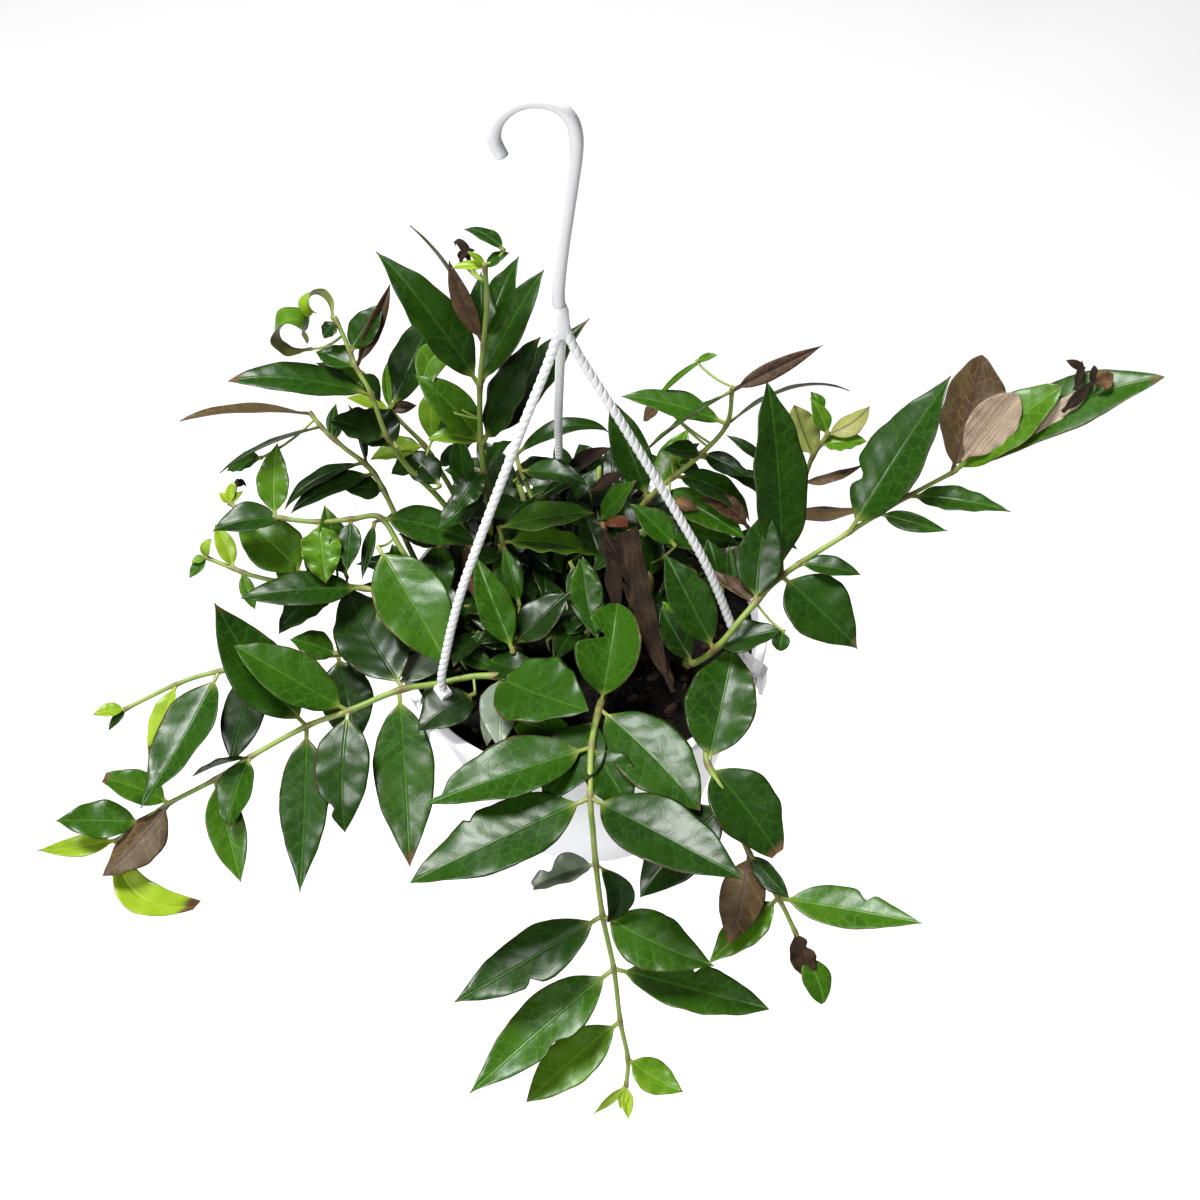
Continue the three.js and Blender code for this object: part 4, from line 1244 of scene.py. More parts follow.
# %% The stems
STEMS = {
    "stem_left_front": {
        "route": [
            (-15, -32), (-28, -32, 2), (-47, -31, 5), (-64, -34, 6), (-81, -38, 9), (-103, -46, 8),
            (-122, -49, 3), (-148, -56, -7), (-165, -62, -14), (-187, -67, -23), (-200, -72, -29),
            (-214, -77, -36),
        ],
        "leaves": [
            (1.6, -40, 20, 56, 37, 5, 0, 0.68), (3.9, 115, -2, 66, 32, 15, 0, 0.95),
            (4, -90, -30, 76, 27, 15, 0, 0.7), (5, 155, 27, 56, 26, 15, 0, 0.62),
            (5, -95, -27, 52, 24, 60, 0, 0.85), (6, 130, 38, 66, 28, -35, 0, 0.8),
            (6, -95, -25, 71, 22, 10, 0, 0.8), (7, -160, 5, 26, 20, 20, 55, 1.3),
            (7, -112, -25, 32, 18, 30, 0, 0.7), (8, -77, -30, 46, 18, -15, 0, 0.5),
            (9, 165, 28, 30, 17, 15, 0, 0.5), (10, -175, 20, 36, 19, -10, 0, 0.6),
            (9, -132, -8, 41, 22, 10, 180, 1.2), (11, -168, 15, 33, 11, -25, 0, 0.1),
            (11, -38, -22, 46, 17, 15, 0, 0.05), (1.5, -92, -5, 36, 18, 15, 0, 2.0),
        ],
    },
    "stem_left_thin": {
        "route": [
            (-32, -2), (-57, -12, 1), (-81, -12, 3), (-110, -12, 3), (-130, -14, 3), (-149, -15, 3),
            (-169, -16, 1), (-183, -19, -1), (-196, -22, -5), (-208, -26, -8),
        ],
        "leaves": [
            (3, -82, -30, 42, 24, 20, 0, 0.9), (3, 170, 25, 22, 16, 15, 0, 0.6),
            (5.7, -114, -3, 71, 26, -15, 0, 0.75), (4.7, -112, -24, 45, 20, 15, 0, 0.95),
            (7, -115, -22, 33, 11, 10, 0, 0.1), (9, -165, 12, 14, 8, 15, 0, 0.1),
            (9, -130, -13, 12, 5, 30, 0, 0.9),
        ],
    },
    "stem_front_centre": {
        "route": [
            (9, -27), (8, -42, 0), (5, -56, 8), (1, -76, 12), (-1, -97, 7), (-1, -105, -6),
            (-1, -113, -22), (0, -126, -45), (3, -141, -67), (4, -156, -90), (6, -167, -107),
            (4, -176, -120),
        ],
        "leaves": [
            (1.6, 76, 18, 46, 36, 35, 0, 0.6), (1.9, -53, -3, 64, 32, 15, 0, 0.72),
            (3, -163, 0, 73, 30, 10, 0, 0.7), (4, -158, -3, 81, 32, 10, 0, 0.78),
            (4, -38, 5, 74, 31, 15, 0, 0.85), (6, -165, -5, 28, 17, 30, 0, 2.0),
            (6, -80, -53, 28, 14, 30, 0, 0.97), (7, -154, -4, 72, 25, -20, 0, 0.8),
            (7, -28, -6, 52, 27, -10, 0, 0.58), (8, -18, -5, 69, 24, -10, 0, 0.62),
            (8, -144, -6, 80, 27, -20, 0, 0.55), (9, -145, -7, 53, 22, -20, 0, 0.35),
            (10, -32, -12, 28, 16, -30, 0, 0.3), (11, -146, -8, 19, 4, 20, 0, 0.1),
            (11, -110, -15, 10, 5, 15, 0, 0.1), (11, -90, -17, 14, 6, 15, 0, 0.1),
            (2.2, -122, -3, 46, 26, 15, 0, 0.85), (3, -62, -20, 32, 22, 15, 0, 0.8),
        ],
    },
    "stem_front_right": {
        "route": [
            (50, -45), (49, -62, 3), (49, -77, 9), (49, -87, 9), (56, -102, 3), (63, -119, -11),
            (74, -133, -26), (81, -144, -40),
        ],
        "leaves": [
            (3, 72, 16, 52, 32, 15, 0, 0.78), (3, -55, -20, 46, 30, 15, 0, 0.85),
            (4, -144, -25, 54, 27, 15, 0, 0.88), (5, -110, -22, 38, 20, 10, 180, 1.2),
            (5, -52, -15, 24, 10, 20, 40, 0.9), (6, -145, -15, 40, 17, -25, 0, 0.45),
            (6, -18, 5, 59, 20, -15, 0, 0.5), (7, -72, -43, 18, 12, 20, 0, 1.66),
        ],
    },
    "stem_right_long": {
        "route": [
            (46, -24), (49, -36, 10), (58, -43, 32), (70, -36, 44), (87, -19, 45), (116, -2, 48),
            (132, 6, 51), (146, 13, 53), (168, 22, 57),
        ],
        "leaves": [
            (1.9, 4, 12, 30, 17, 15, 0, 0.88), (1.8, 119, 36, 45, 21, 15, 0, 0.8),
            (4, 91, 43, 82, 27, 25, 20, 0.85), (3.3, 75, 35, 40, 20, 20, 0, 0.85),
            (4, -46, -20, 44, 31, 10, 0, 0.85), (4.3, -17, -2, 26, 12, 15, 0, 0.85),
            (5.1, 41, 41, 78, 29, 15, 0, 0.8), (7, -20, 3, 43, 15, 15, 0, 0.7),
            (6, -22, -3, 30, 9, 35, 50, 0.6), (8, 66, 53, 52, 31, 15, 158, 1.25),
            (8, 3, 29, 94, 27, 15, 0, 0.65), (8, 16, 38, 58, 25, 15, 0, 0.42),
            (0.7, 120, 30, 28, 14, 15, 0, 0.9), (3.4, 140, 12, 19, 8, 20, 180, 0.9),
        ],
    },
    "stem_back_right": {
        "route": [
            (21, 53), (30, 52, 10), (40, 52, 24), (60, 51, 48), (71, 51, 66), (73, 52, 88),
        ],
        "leaves": [
            (5, -158, -22, 47, 11, 15, 40, 0.7), (5, 10, 22, 43, 8, 30, 50, 1.39),
            (4, 165, 12, 48, 16, 15, 0, 0.6), (4, 12, 3, 57, 9, 60, -43, 0.85),
            (3, -32, -10, 24, 10, 25, 20, 0.95), (1.6, 112, 41, 50, 19, 20, 0, 0.85),
            (2, -42, 0, 49, 20, 35, 0, 0.58), (2, 50, 38, 31, 15, 25, 0, 0.4),
            (3, 175, 10, 18, 12, 15, 0, 0.9), (2.4, -32, -17, 40, 16, 80, 0, 0.8),
        ],
    },
    "stem_right_low": {
        "route": [
            (57, 18), (62, 20, 4), (76, 21, 17), (92, 28, 30), (103, 34, 42), (108, 39, 54), (115, 43, 64),
        ],
        "leaves": [
            (5, 112, 40, 24, 18, 20, 180, 0.2), (6, 15, 30, 22, 12, 60, 180, 0.3),
            (5.5, -8, 8, 20, 14, 15, 0, 0.35), (6, 116, 37, 18, 9, 15, 0, 0.35),
            (4, 2, 17, 29, 9, 15, 160, 1.2), (3, -8, 7, 39, 14, 15, 160, 1.2),
            (3.6, 150, 8, 28, 9, 25, 20, 0.9),
        ],
    },
    "stem_upright": {
        "route": [
            (-39, 51), (-39, 47, 10), (-38, 45, 30), (-37, 46, 72), (-34, 48, 104), (-30, 49, 127),
            (-26, 47, 152), (-25, 48, 170),
        ],
        "leaves": [
            (4, 137, 43, 69, 22, 40, 0, 0.85), (4, 45, 38, 55, 18, 15, 0, 0.75),
            (5, 130, 46, 55, 10, 30, 60, 1.1), (5, 50, 45, 38, 16, 15, 0, 0.85),
            (5, 85, 50, 29, 13, 15, 0, 0.8), (7, 14, 24, 11, 7, 35, 0, 0.75),
            (7, 175, 0, 13, 6, 30, 0, 0.1),
            (7, 150, 40, 9, 4, 15, 0, 0.2), (3, 33, 31, 71, 24, 15, 0, 0.95),
            (3, 142, 36, 40, 19, 40, 0, 0.5), (3, 180, 10, 23, 11, 40, 0, 0.3),
            (2.3, -145, -12, 28, 16, 20, 0, 0.9), (2.6, -130, -20, 24, 15, 20, 0, 0.9),
        ],
    },
    "stem_left_upper": {
        "route": [
            (-44, 30), (-50, 42, 12), (-60, 48, 34), (-71, 50, 54), (-78, 53, 72), (-82, 60, 92),
            (-87, 67, 102), (-90, 74, 110), (-94, 82, 118),
        ],
        "leaves": [
            (5, -178, 16, 60, 18, 35, 0, 0.8), (7.8, -140, -27, 9, 9, 15, 0, 0.9),
            (6, 152, 6, 20, 15, 15, 0, 0.75), (6.6, 42, 32, 25, 16, 20, 0, 0.85),
            (6, 52, 40, 38, 8, 20, 50, 1.35), (4, 175, 25, 26, 20, 20, 0, 0.95),
            (1, -82, -8, 42, 12, 10, 0, 1.4),
        ],
    },
    "stem_left_short": {
        "route": [
            (-50, 52), (-52, 56, 8), (-55, 59, 25), (-60, 62, 40), (-65, 67, 50), (-73, 73, 58),
            (-79, 78, 64),
        ],
        "leaves": [
            (6, 170, 20, 20, 8, 15, 0, 0.15), (6, 90, 45, 21, 5, 15, 0, 0.4),
            (4, -166, 0, 25, 15, 15, 0, 0.15), (6, 8, 0, 12, 6, 30, 30, 1.2),
            (6, 48, 40, 53, 23, 15, 0, 0.95), (3.5, -165, -12, 20, 15, 15, 0, 0.9),
            (3, 20, 25, 20, 11, 15, 0, 0.9),
        ],
    },
    "stem_left_twisted": {
        "route": [
            (-60, 6), (-68, 19, 4), (-77, 35, 22), (-82, 45, 36), (-89, 56, 48), (-100, 62, 58),
            (-108, 68, 64), (-114, 75, 69),
        ],
        "leaves": [
            (7, -170, 12, 57, 15, 20, 30, 1.1), (6.2, -156, -4, 49, 12, 25, 40, 0.9),
            (5.6, 72, 41, 15, 6, 15, 0, 0.8), (5.4, 60, 38, 13, 6, 15, 0, 0.8),
            (4.2, 105, 45, 28, 9, 10, 60, 0.9), (4.3, -152, -8, 41, 12, 50, 20, 0.95),
            (3.9, -157, -6, 41, 14, 45, 0, 0.9), (3.4, -175, 20, 21, 16, 15, 0, 0.85),
        ],
    },
    "stem_left_middle": {
        "route": [
            (-48, -1), (-64, 10, 8), (-77, 24, 26), (-86, 36, 38), (-99, 35, 40), (-113, 34, 41),
            (-129, 36, 43), (-146, 40, 46), (-153, 44, 47),
        ],
        "leaves": [
            (3, -10, -20, 46, 21, 20, 0, 0.78), (6, -168, 5, 31, 18, 30, 0, 0.85),
            (6.2, 82, 37, 33, 15, 15, 0, 0.4), (5, -87, -30, 28, 19, 30, 0, 0.35),
            (4, -98, -25, 24, 12, 20, 0, 0.85),
            (8, 140, 40, 7, 4, 15, 0, 0.1), (8, 76, 38, 10, 5, 15, 0, 0.1), (8, 39, 18, 8, 4, 30, 0, 0.2),
            (1.3, -60, -5, 26, 18, 15, 0, 0.9),
        ],
    },
    "stem_left_lower": {
        "route": [
            (-66, 2), (-72, 6, 11), (-91, 10, 19), (-108, 15, 18), (-129, 19, 17), (-146, 24, 18),
            (-156, 28, 20), (-170, 35, 22),
        ],
        "leaves": [
            (2.3, -172, 10, 54, 20, 25, 0, 0.85), (3, -145, -12, 34, 18, 60, 0, 0.9),
            (4, 128, 40, 12, 10, 15, 0, 0.5), (5.6, -72, -38, 18, 7, 60, 0, 0.4),
            (6, 112, 42, 22, 9, 15, 0, 0.15), (7, 60, 40, 9, 6, 120, 0, 0.2),
            (7, -155, 5, 7, 5, 30, 0, 0.3), (7, -134, -18, 12, 7, 15, 0, 0.6),
            (3.2, 118, 40, 24, 12, 10, 0, 0.95),
        ],
    },
    "stem_centre_front": {
        "route": [
            (-30, 30), (-32, 31, 8), (-33, 33, 18), (-34, 36, 26),
        ],
        "leaves": [
            (3, 3, 3, 44, 22, 20, -15, 0.5), (2, -10, -8, 47, 22, 20, -15, 0.45),
            (1.4, -150, 10, 22, 12, 15, 0, 0.9),
        ],
    },
    "stem_centre_left": {
        "route": [
            (-29, -11), (-30, -13, 2), (-31, -22, 9),
        ],
        "leaves": [
            (2, 112, 38, 46, 17, 10, 0, 0.6), (1.4, 35, 20, 34, 20, 10, 0, 0.95),
            (1, 175, 15, 20, 12, 15, 0, 0.95),
        ],
    },
    "stem_centre_back": {
        "route": [
            (-14, 58), (-18, 60, 12), (-23, 69, 25), (-25, 76, 30),
        ],
        "leaves": [
            (3, 8, 5, 45, 11, 100, 0, 0.9), (2, -25, 5, 34, 15, 40, 0, 0.85),
            (1, 20, 18, 40, 9, 30, 0, 0.9), (1, -80, 5, 30, 17, 15, 0, 0.9),
        ],
    },
    "stem_centre_right": {
        "route": [
            (32, 12), (33, 16, 4), (29, 27, 10), (25, 37, 15),
        ],
        "leaves": [
            (3, -12, -3, 52, 20, 15, 0, 0.7), (1, 75, 48, 25, 14, 15, 0, 0.8),
            (2.6, -135, 5, 28, 14, 15, 0, 0.85),
        ],
    },
    "stem_centre_mid": {
        "route": [
            (8, 37), (10, 41, 6), (12, 44, 15),
        ],
        "leaves": [
            (2, 18, 47, 28, 15, 15, 0, 0.6), (2, 172, 20, 22, 14, 15, 0, 0.8),
            (1.3, -50, 5, 24, 13, 15, 0, 0.85),
        ],
    },
    "stem_centre_low": {
        "route": [
            (1, -9), (3, -7, 0), (4, -4, 6),
        ],
        "leaves": [
            (2, 97, 38, 27, 15, 15, 0, 0.55), (1.4, -170, 10, 20, 11, 15, 0, 0.8),
        ],
    },
    "stem_back_left": {
        "route": [
            (-22, 65), (-25, 76, 5), (-28, 84, 5), (-31, 91, -6), (-33, 95, -26), (-34, 97, -46),
        ],
        "leaves": [
            (3, 150, -15, 40, 18, 20, 0, 0.85), (3.2, 30, -25, 36, 17, 20, 0, 0.85),
            (4, 160, -30, 40, 18, 20, 0, 0.85), (4.2, 35, -35, 38, 16, 20, 0, 0.85),
            (5, 140, -50, 32, 14, 20, 0, 0.85), (5, 50, -55, 30, 13, 20, 0, 0.85),
        ],
    },
    "stem_back_centre": {
        "route": [
            (12, 64), (13, 76, 5), (14, 85, 5), (15, 93, -6), (15, 97, -28), (15, 99, -52), (16, 100, -74),
        ],
        "leaves": [
            (3, 20, -20, 40, 18, 20, 0, 0.85), (4, 150, -25, 34, 16, 20, 0, 0.85),
            (4, 25, -35, 42, 19, 20, 0, 0.85), (5, 155, -30, 38, 17, 20, 0, 0.85),
            (5, 30, -40, 38, 17, 20, 0, 0.85), (6, 130, -55, 30, 13, 15, 0, 0.85),
            (6, 40, -60, 28, 12, 15, 0, 0.85),
        ],
    },
    "dry_shoot": {
        "route": [
            (38, -32), (34, -24, 3), (24, -6, 14), (16, 14, 25), (13, 28, 33),
        ],
        "leaves": [
            (4, -85, -25, 45, 9, 20, 0, 1.69), (4, 0, 10, 11, 6, 40, 0, 1.6),
            (3, -68, -24, 42, 8, 20, -30, 1.68), (2, -60, -26, 28, 8, 20, 30, 1.67),
        ],
    },
}
print(len(STEMS), "stems with", sum(len(stem["leaves"]) for stem in STEMS.values()), "leaves")

# %% [markdown]
# More leaves are tucked in between and reach past the pairs along the stems. Each is written down by
# where its blade starts and where it ends, in the same millimetres, then its width, curl, roll and
# tone.

# %% Leaves in between
MORE_LEAVES = {
    "stem_left_upper": [
        ((-81, 60, 92), (-106, 78, 96), 13, 15, 0, 0.6), ((-85, 66, 100), (-79, 61, 86), 9, 15, 0, 0.85),
        ((-74, 50, 68), (-93, 67, 74), 22, 15, 0, 0.97), ((-58, 45, 46), (-75, 63, 52), 16, 15, 0, 0.95),
        ((-63, 34, 22), (-63, 7, 8), 15, 20, 0, 0.75), ((-61, 30, 22), (-80, 36, 26), 10, 15, 0, 0.95),
        ((-61, 66, 54), (-45, 71, 62), 12, 15, 0, 0.95),
        ((-105, 74, 108), (-108, 76, 115), 19, 300, -140, 0.35),
        ((-95, 82, 117), (-102, 81, 122), 12, 260, 53, 0.15),
    ],
    "stem_left_twisted": [
        ((-136, 58, 60), (-154, 59, 52), 11, 10, 0, 0.7), ((-89, 36, 36), (-97, 16, 20), 6, 10, 0, 0.85),
    ],
    "stem_left_middle": [
        ((-79, 20, 18), (-82, 27, 30), 9, 15, 0, 0.85), ((-56, -18, 6), (-39, -26, 0), 10, 15, 0, 0.8),
        ((-82, 8, 14), (-90, -10, 6), 12, 10, 0, 0.3), ((-88, 24, 33), (-60, -28, 12), 33, 15, 0, 0.55),
        ((-151, 57, 46), (-146, 54, 46), 3, 120, 0, 1.7), ((-150, 57, 47), (-147, 55, 47), 3, 200, 60, 1.7),
    ],
    "stem_left_lower": [
        ((-104, 19, 18), (-110, 39, 46), 15, 10, 15, 0.5), ((-107, 28, 40), (-115, 21, 30), 6, 15, 0, 0.6),
        ((-124, 22, 18), (-154, 51, 30), 26, 45, 0, 0.45),
    ],
    "stem_upright": [
        ((-36, 43, 74), (-7, 56, 122), 24, 12, 0, 0.95), ((-59, 58, 88), (-37, 75, 100), 14, 20, 28, 0.4),
        ((-57, 67, 86), (-60, 57, 64), 11, 15, 0, 0.3), ((-39, 53, 66), (-48, 64, 82), 14, 15, 0, 0.97),
        ((-49, 50, 34), (-48, 62, 64), 12, 15, 0, 0.75), ((-39, 49, 50), (-24, 51, 66), 12, 15, 0, 0.75),
        ((-32, 61, 160), (-37, 67, 164), 4, 200, 0, 1.7), ((-35, 62, 160), (-29, 61, 166), 4, 160, 40, 1.7),
        ((-30, 49, 128), (-40, 63, 160), 9, 10, -40, 1.35),
        ((-17, 50, 174), (-32, 62, 176), 10, 35, 20, 0.8),
    ],
    "stem_centre_back": [
        ((-27, 69, 18), (-6, 72, 28), 14, 25, 0, 1.0), ((-5, 70, 16), (20, 73, 32), 11, 15, 0, 1.7),
        ((9, 62, 14), (26, 64, 24), 8, 20, 0, 1.7),
    ],
    "stem_centre_left": [
        ((-27, 2, 10), (-32, 24, 26), 9, 15, 0, 0.65), ((-60, 28, 10), (-59, 9, 0), 9, 10, 0, 1.45),
        ((-35, 35, 14), (-28, 7, 6), 14, 10, 0, 0.85), ((-62, 35, 20), (-65, 9, 8), 17, 10, 0, 0.85),
    ],
    "stem_centre_mid": [
        ((11, 24, 10), (5, 43, 22), 14, 15, 0, 0.92), ((-3, 20, 16), (7, -16, 4), 16, 10, 0, 0.8),
    ],
    "stem_centre_right": [((45, 18, 24), (26, 35, 36), 16, 15, 0, 0.68)],
    "stem_centre_low": [((5, -7, 6), (3, 18, 22), 16, 15, 0, 0.75)],
    "stem_back_right": [
        ((44, 67, 66), (35, 66, 56), 10, 15, 0, 1.2), ((41, 66, 70), (63, 70, 88), 4, 30, 0, 0.5),
        ((59, 69, 88), (68, 68, 92), 5, 15, 0, 0.45), ((47, 58, 36), (61, 52, 30), 10, 15, 0, 0.85),
        ((49, 58, 34), (60, 61, 44), 9, 15, 0, 0.9), ((60, 50, 47), (88, 36, 30), 9, 45, 0, 0.95),
        ((44, 39, 30), (57, 33, 30), 9, 10, 0, 1.48),
    ],
    "stem_right_low": [
        ((79, 25, 24), (58, 43, 24), 12, 120, 0, 1.38), ((64, -2, 14), (59, 16, 30), 12, 15, 0, 0.85),
        ((70, -6, 18), (68, 10, 32), 6, 15, 0, 0.8), ((114, 54, 66), (109, 61, 72), 7, 20, 0, 0.5),
        ((88, 46, 44), (72, 59, 50), 6, 25, 0, 0.95),
    ],
    "stem_right_long": [
        ((54, -11, 46), (73, -31, 44), 5, 20, 0, 1.2), ((85, -41, 36), (83, -47, 30), 8, 60, 0, 0.8),
        ((41, -9, 8), (37, -3, 12), 4, 20, 0, 0.3), ((190, 19, 75), (223, 33, 93), 10, 10, 20, 1.45),
        ((169, 20, 65), (192, 35, 88), 21, 12, 28, 1.45), ((191, 31, 76), (194, 38, 81), 9, 10, 12, 1.7),
        ((214, 30, 93), (218, 40, 100), 4, 30, 13, 1.7), ((208, 23, 88), (222, 33, 95), 5, 30, 29, 1.7),
        ((219, 38, 97), (212, 42, 99), 4, 60, -33, 1.7), ((220, 29, 96), (222, 36, 101), 4, 60, 11, 1.7),
        ((221, 28, 98), (229, 31, 100), 9, 20, 34, 1.45),
    ],
    "dry_shoot": [
        ((38, -46, 3), (15, 20, 30), 8, 10, 25, 1.69), ((38, -46, 3), (24, 21, 34), 12, 10, -10, 1.68),
        ((24, 23, 35), (16, 24, 36), 5, 30, 0, 1.6), ((36, -40, 2), (30, -4, 10), 6, 30, 50, 1.66),
    ],
    "stem_front_right": [((83, -150, -47), (90, -167, -59), 13, 20, 0, 0.52)],
    "stem_left_front": [
        ((-82, -31, 4), (-60, -12, 0), 16, 5, 0, 2.0), ((-48, -42, 8), (-73, -59, 8), 23, 25, 0, 0.97),
        ((-35, -52, 2), (-4, -64, 0), 18, 15, 0, 0.55), ((-38, -35, 0), (-45, -58, -10), 10, 20, 0, 2.0),
    ],
}
print(sum(len(rows) for rows in MORE_LEAVES.values()), "leaves in between")

# %% [markdown]
# Down in the pot, where little light gets, many small leaves fill the gaps. All of them get the oldest,
# darkest greens, which is painted shade laid over the real shade there. One looks like another, so they are
# drawn at random: for each stem there, the middle of the patch, how far it spreads, and how many leaves it
# has.

# %% Leaves deep in the pot
DEEP_LEAVES = {
    "stem_centre_back": ((-20, 58), 20, 14),
    "stem_centre_mid": ((8, 44), 20, 12),
    "stem_centre_left": ((-36, 14), 22, 10),
    "stem_centre_front": ((-14, 28), 18, 7),
    "stem_centre_right": ((40, 38), 20, 12),
    "stem_back_left": ((-30, 70), 10, 8),
    "stem_back_centre": ((14, 70), 16, 12),
    "stem_left_middle": ((-62, 18), 16, 9),
    "stem_right_low": ((62, 28), 12, 10),
    "stem_centre_low": ((-10, -4), 14, 6),
    "stem_left_front": ((-52, -14), 12, 6),
}
DEEP_HEIGHTS = (-7, 2)
DEEP_PITCHES = (0, 24)
DEEP_LENGTHS = (22, 38)
DEEP_WIDTH_SHARES = (0.38, 0.55)
DEEP_CURLS = (15, 60)
DEEP_ROLLS = (-25, 25)
# Ages of the deep leaves: always the oldest, darkest greens, which paints shade into the middle of the pot.
DEEP_AGES_PAINTED_SHADE = (0.92, 1.0)


def chord_of(heading, pitch, length):
    """The chord of a leaf from its heading and pitch in degrees and its length."""
    level_reach = length * math.cos(math.radians(pitch))
    heading = math.radians(heading)
    height = length * math.sin(math.radians(pitch))
    return Vector((level_reach * math.cos(heading), level_reach * math.sin(heading), height))


def deep_rows(middle, spread, count, dice):
    """Small leaves around a place in the pot, in the darkest greens as painted shade, as rows like those
    above.
    """
    rows = []
    for _ in range(count):
        around_by = math.radians(dice.uniform(0, 360))
        out_by = spread * math.sqrt(dice.random())
        x = middle[0] + out_by * math.cos(around_by)
        y = middle[1] + out_by * math.sin(around_by)
        start = Vector((x, y, dice.uniform(*DEEP_HEIGHTS)))
        heading = dice.uniform(0, 360)
        pitch = dice.uniform(*DEEP_PITCHES)
        length = dice.uniform(*DEEP_LENGTHS)
        width = length * dice.uniform(*DEEP_WIDTH_SHARES)
        curl, roll, age = (dice.uniform(*limits) for limits in (DEEP_CURLS, DEEP_ROLLS, DEEP_AGES_PAINTED_SHADE))
        rows.append((start, start + chord_of(heading, pitch, length), width, curl, roll, age))
    return rows


print(sum(count for middle, spread, count in DEEP_LEAVES.values()), "leaves deep in the pot")

# %% [markdown]
# Some leaves have marks of their own: a bite out of one side, a blunt or broken tip, or a scorched
# end. A few withered bits have come loose and rest on other blades, so they have no stalk: for three
# pieces the number of their first such bit is written down.


# %% Marks of single leaves
def bitten(side, place, depth, span):
    """A bite out of a leaf: its side, its place along the blade, its depth and its half length."""
    return {"notch_side": side, "notch_at": place, "notch_depth": depth, "notch_span": span}


MARKS = {
    ("stem_left_front", 4): bitten(-1, 0.78, 0.5, 0.05),
    ("stem_left_front", 10): {"cut": 0.86, "scorch": 0.05},
    ("stem_left_front", 14): {"scorch": 0.06, "sweep": -0.28, "cut": 0.93, "fall": 0.8},
    ("stem_left_thin", 4): {"scorch": 0.15},
    ("stem_front_centre", 0): {**bitten(1, 0.62, 0.8, 0.08), "fold": 36.0},
    ("stem_front_centre", 2): bitten(-1, 0.9, 0.6, 0.04),
    ("stem_front_centre", 3): bitten(-1, 0.6, 0.2, 0.02),
    ("stem_front_centre", 5): {**bitten(-1, 0.68, 0.6, 0.1), "fold": 35.0, "cut": 0.85},
    ("stem_front_centre", 6): {"sweep": 0.27, "fold": 30.0, "fall": 0.8},
    ("stem_front_centre", 7): bitten(1, 0.55, 0.3, 0.03),
    ("stem_front_centre", 9): bitten(1, 0.5, 0.35, 0.03),
    ("stem_front_centre", 10): bitten(1, 0.5, 0.35, 0.06),
    ("stem_front_right", 1): {"cut": 0.9},
    ("stem_front_right", 6): bitten(1, 0.6, 0.4, 0.04),
    ("stem_front_right", 7): {**bitten(1, 0.4, 0.4, 0.1), "cut": 0.8, "wave": 0.0009, "wave_count": 3.0},
    ("stem_front_right", 8): {"cut": 0.97, "fall": 0.9, "scorch": 0.0, "sweep": 0.06},
    ("stem_right_long", 6): bitten(1, 0.3, 0.4, 0.05),
    ("stem_right_long", 9): {"fall": 0.8, "scorch": 0.0},
    ("stem_right_long", 10): {"fall": 0.85, "sweep": 0.05, "scorch": 0.02},
    ("stem_right_long", 11): {"fall": 0.8, "scorch": 0.0},
    ("stem_right_long", 17): {"scorch": 0.0, "dust": 0.8},
    ("stem_right_long", 18): {"scorch": 0.0, "dust": 0.6, "fall": 0.7},
    ("stem_upright", 14): {"sweep": 0.33},
    ("stem_left_upper", 14): {"cut": 0.85, "fold": 20.0, "fall": 0.4, "twist": 0.0},
    ("stem_left_upper", 15): {"cut": 0.85, "fold": 15.0, "fall": 0.4, "twist": 0.0},
    ("stem_left_middle", 3): {"wave": 0.0018, "wave_count": 4.0},
    ("dry_shoot", 0): bitten(-1, 0.4, 0.5, 0.12),
    ("dry_shoot", 1): {"cut": 0.7, "scorch": 1.0, "char": 0.0},
    ("dry_shoot", 4): {**bitten(1, 0.6, 0.6, 0.14), "cut": 0.6, "wave": 0.0014, "wave_count": 6.0},
    ("dry_shoot", 5): {
        **bitten(1, 0.72, 0.6, 0.12), "cut": 0.6, "wave": 0.002, "wave_count": 5.0, "sweep": 0.04,
    },
    ("dry_shoot", 6): {"cut": 0.7, "scorch": 1.0, "char": 0.0},
}
RESTING_FROM = {"stem_right_long": 17, "stem_front_right": 8, "dry_shoot": 4}
print(len(MARKS), "leaves have marks of their own")

# %% [markdown]
# A tone stands for several values at once: the age, whether the leaf is dry, dusty or charred, and
# whether its brown underside shows. Everything else about a leaf is drawn at random within small
# limits, with a fixed seed, so the plant is the same each time.

# %% All values of a leaf
LEAF_SEED = 20
OLDEST = 1.0
GROWN_AGE = 0.9
DRY_FROM = 1.4
DUSTY_FROM = 2.0
UNDERSIDE_STEP = 0.4
ROLLED_OVER = 120
CHAR_FROM = 1.5
CHAR_SLOPE = 4.5
MOST_CHAR = 0.85
DUST_SHARE = 0.5


def tone_values(tone, roll):
    """What a tone stands for: the age and the state of the leaf."""
    values = {"age": min(tone, GROWN_AGE), "dry": 0.0, "turned_over": 0.0, "dust": 0.0, "char": 0.0}
    if tone <= OLDEST:
        values["age"] = tone
    elif tone < DRY_FROM:
        values["turned_over"] = 1.0 if abs(roll) < ROLLED_OVER else 0.0
        values["age"] = tone - UNDERSIDE_STEP
    elif tone < DUSTY_FROM:
        values["dry"] = 1.0
        values["char"] = min(max((tone - CHAR_FROM) * CHAR_SLOPE, 0.0), MOST_CHAR)
    else:
        values["dust"] = DUST_SHARE
    return values


# The limits of what is drawn at random. Folds and twists are in degrees.
FOLDS = (6, 20)
WAVES_MM = (0.3, 1.0)
WAVE_COUNTS = (2.0, 4.5)
TWISTS = (-8, 8)
SWEEPS = (-0.03, 0.03)
FALLS = (0.9, 1.3)
SCORCHES = (0.0, 0.0, 0.0, 0.03)
GROWN_WIDTH = 25


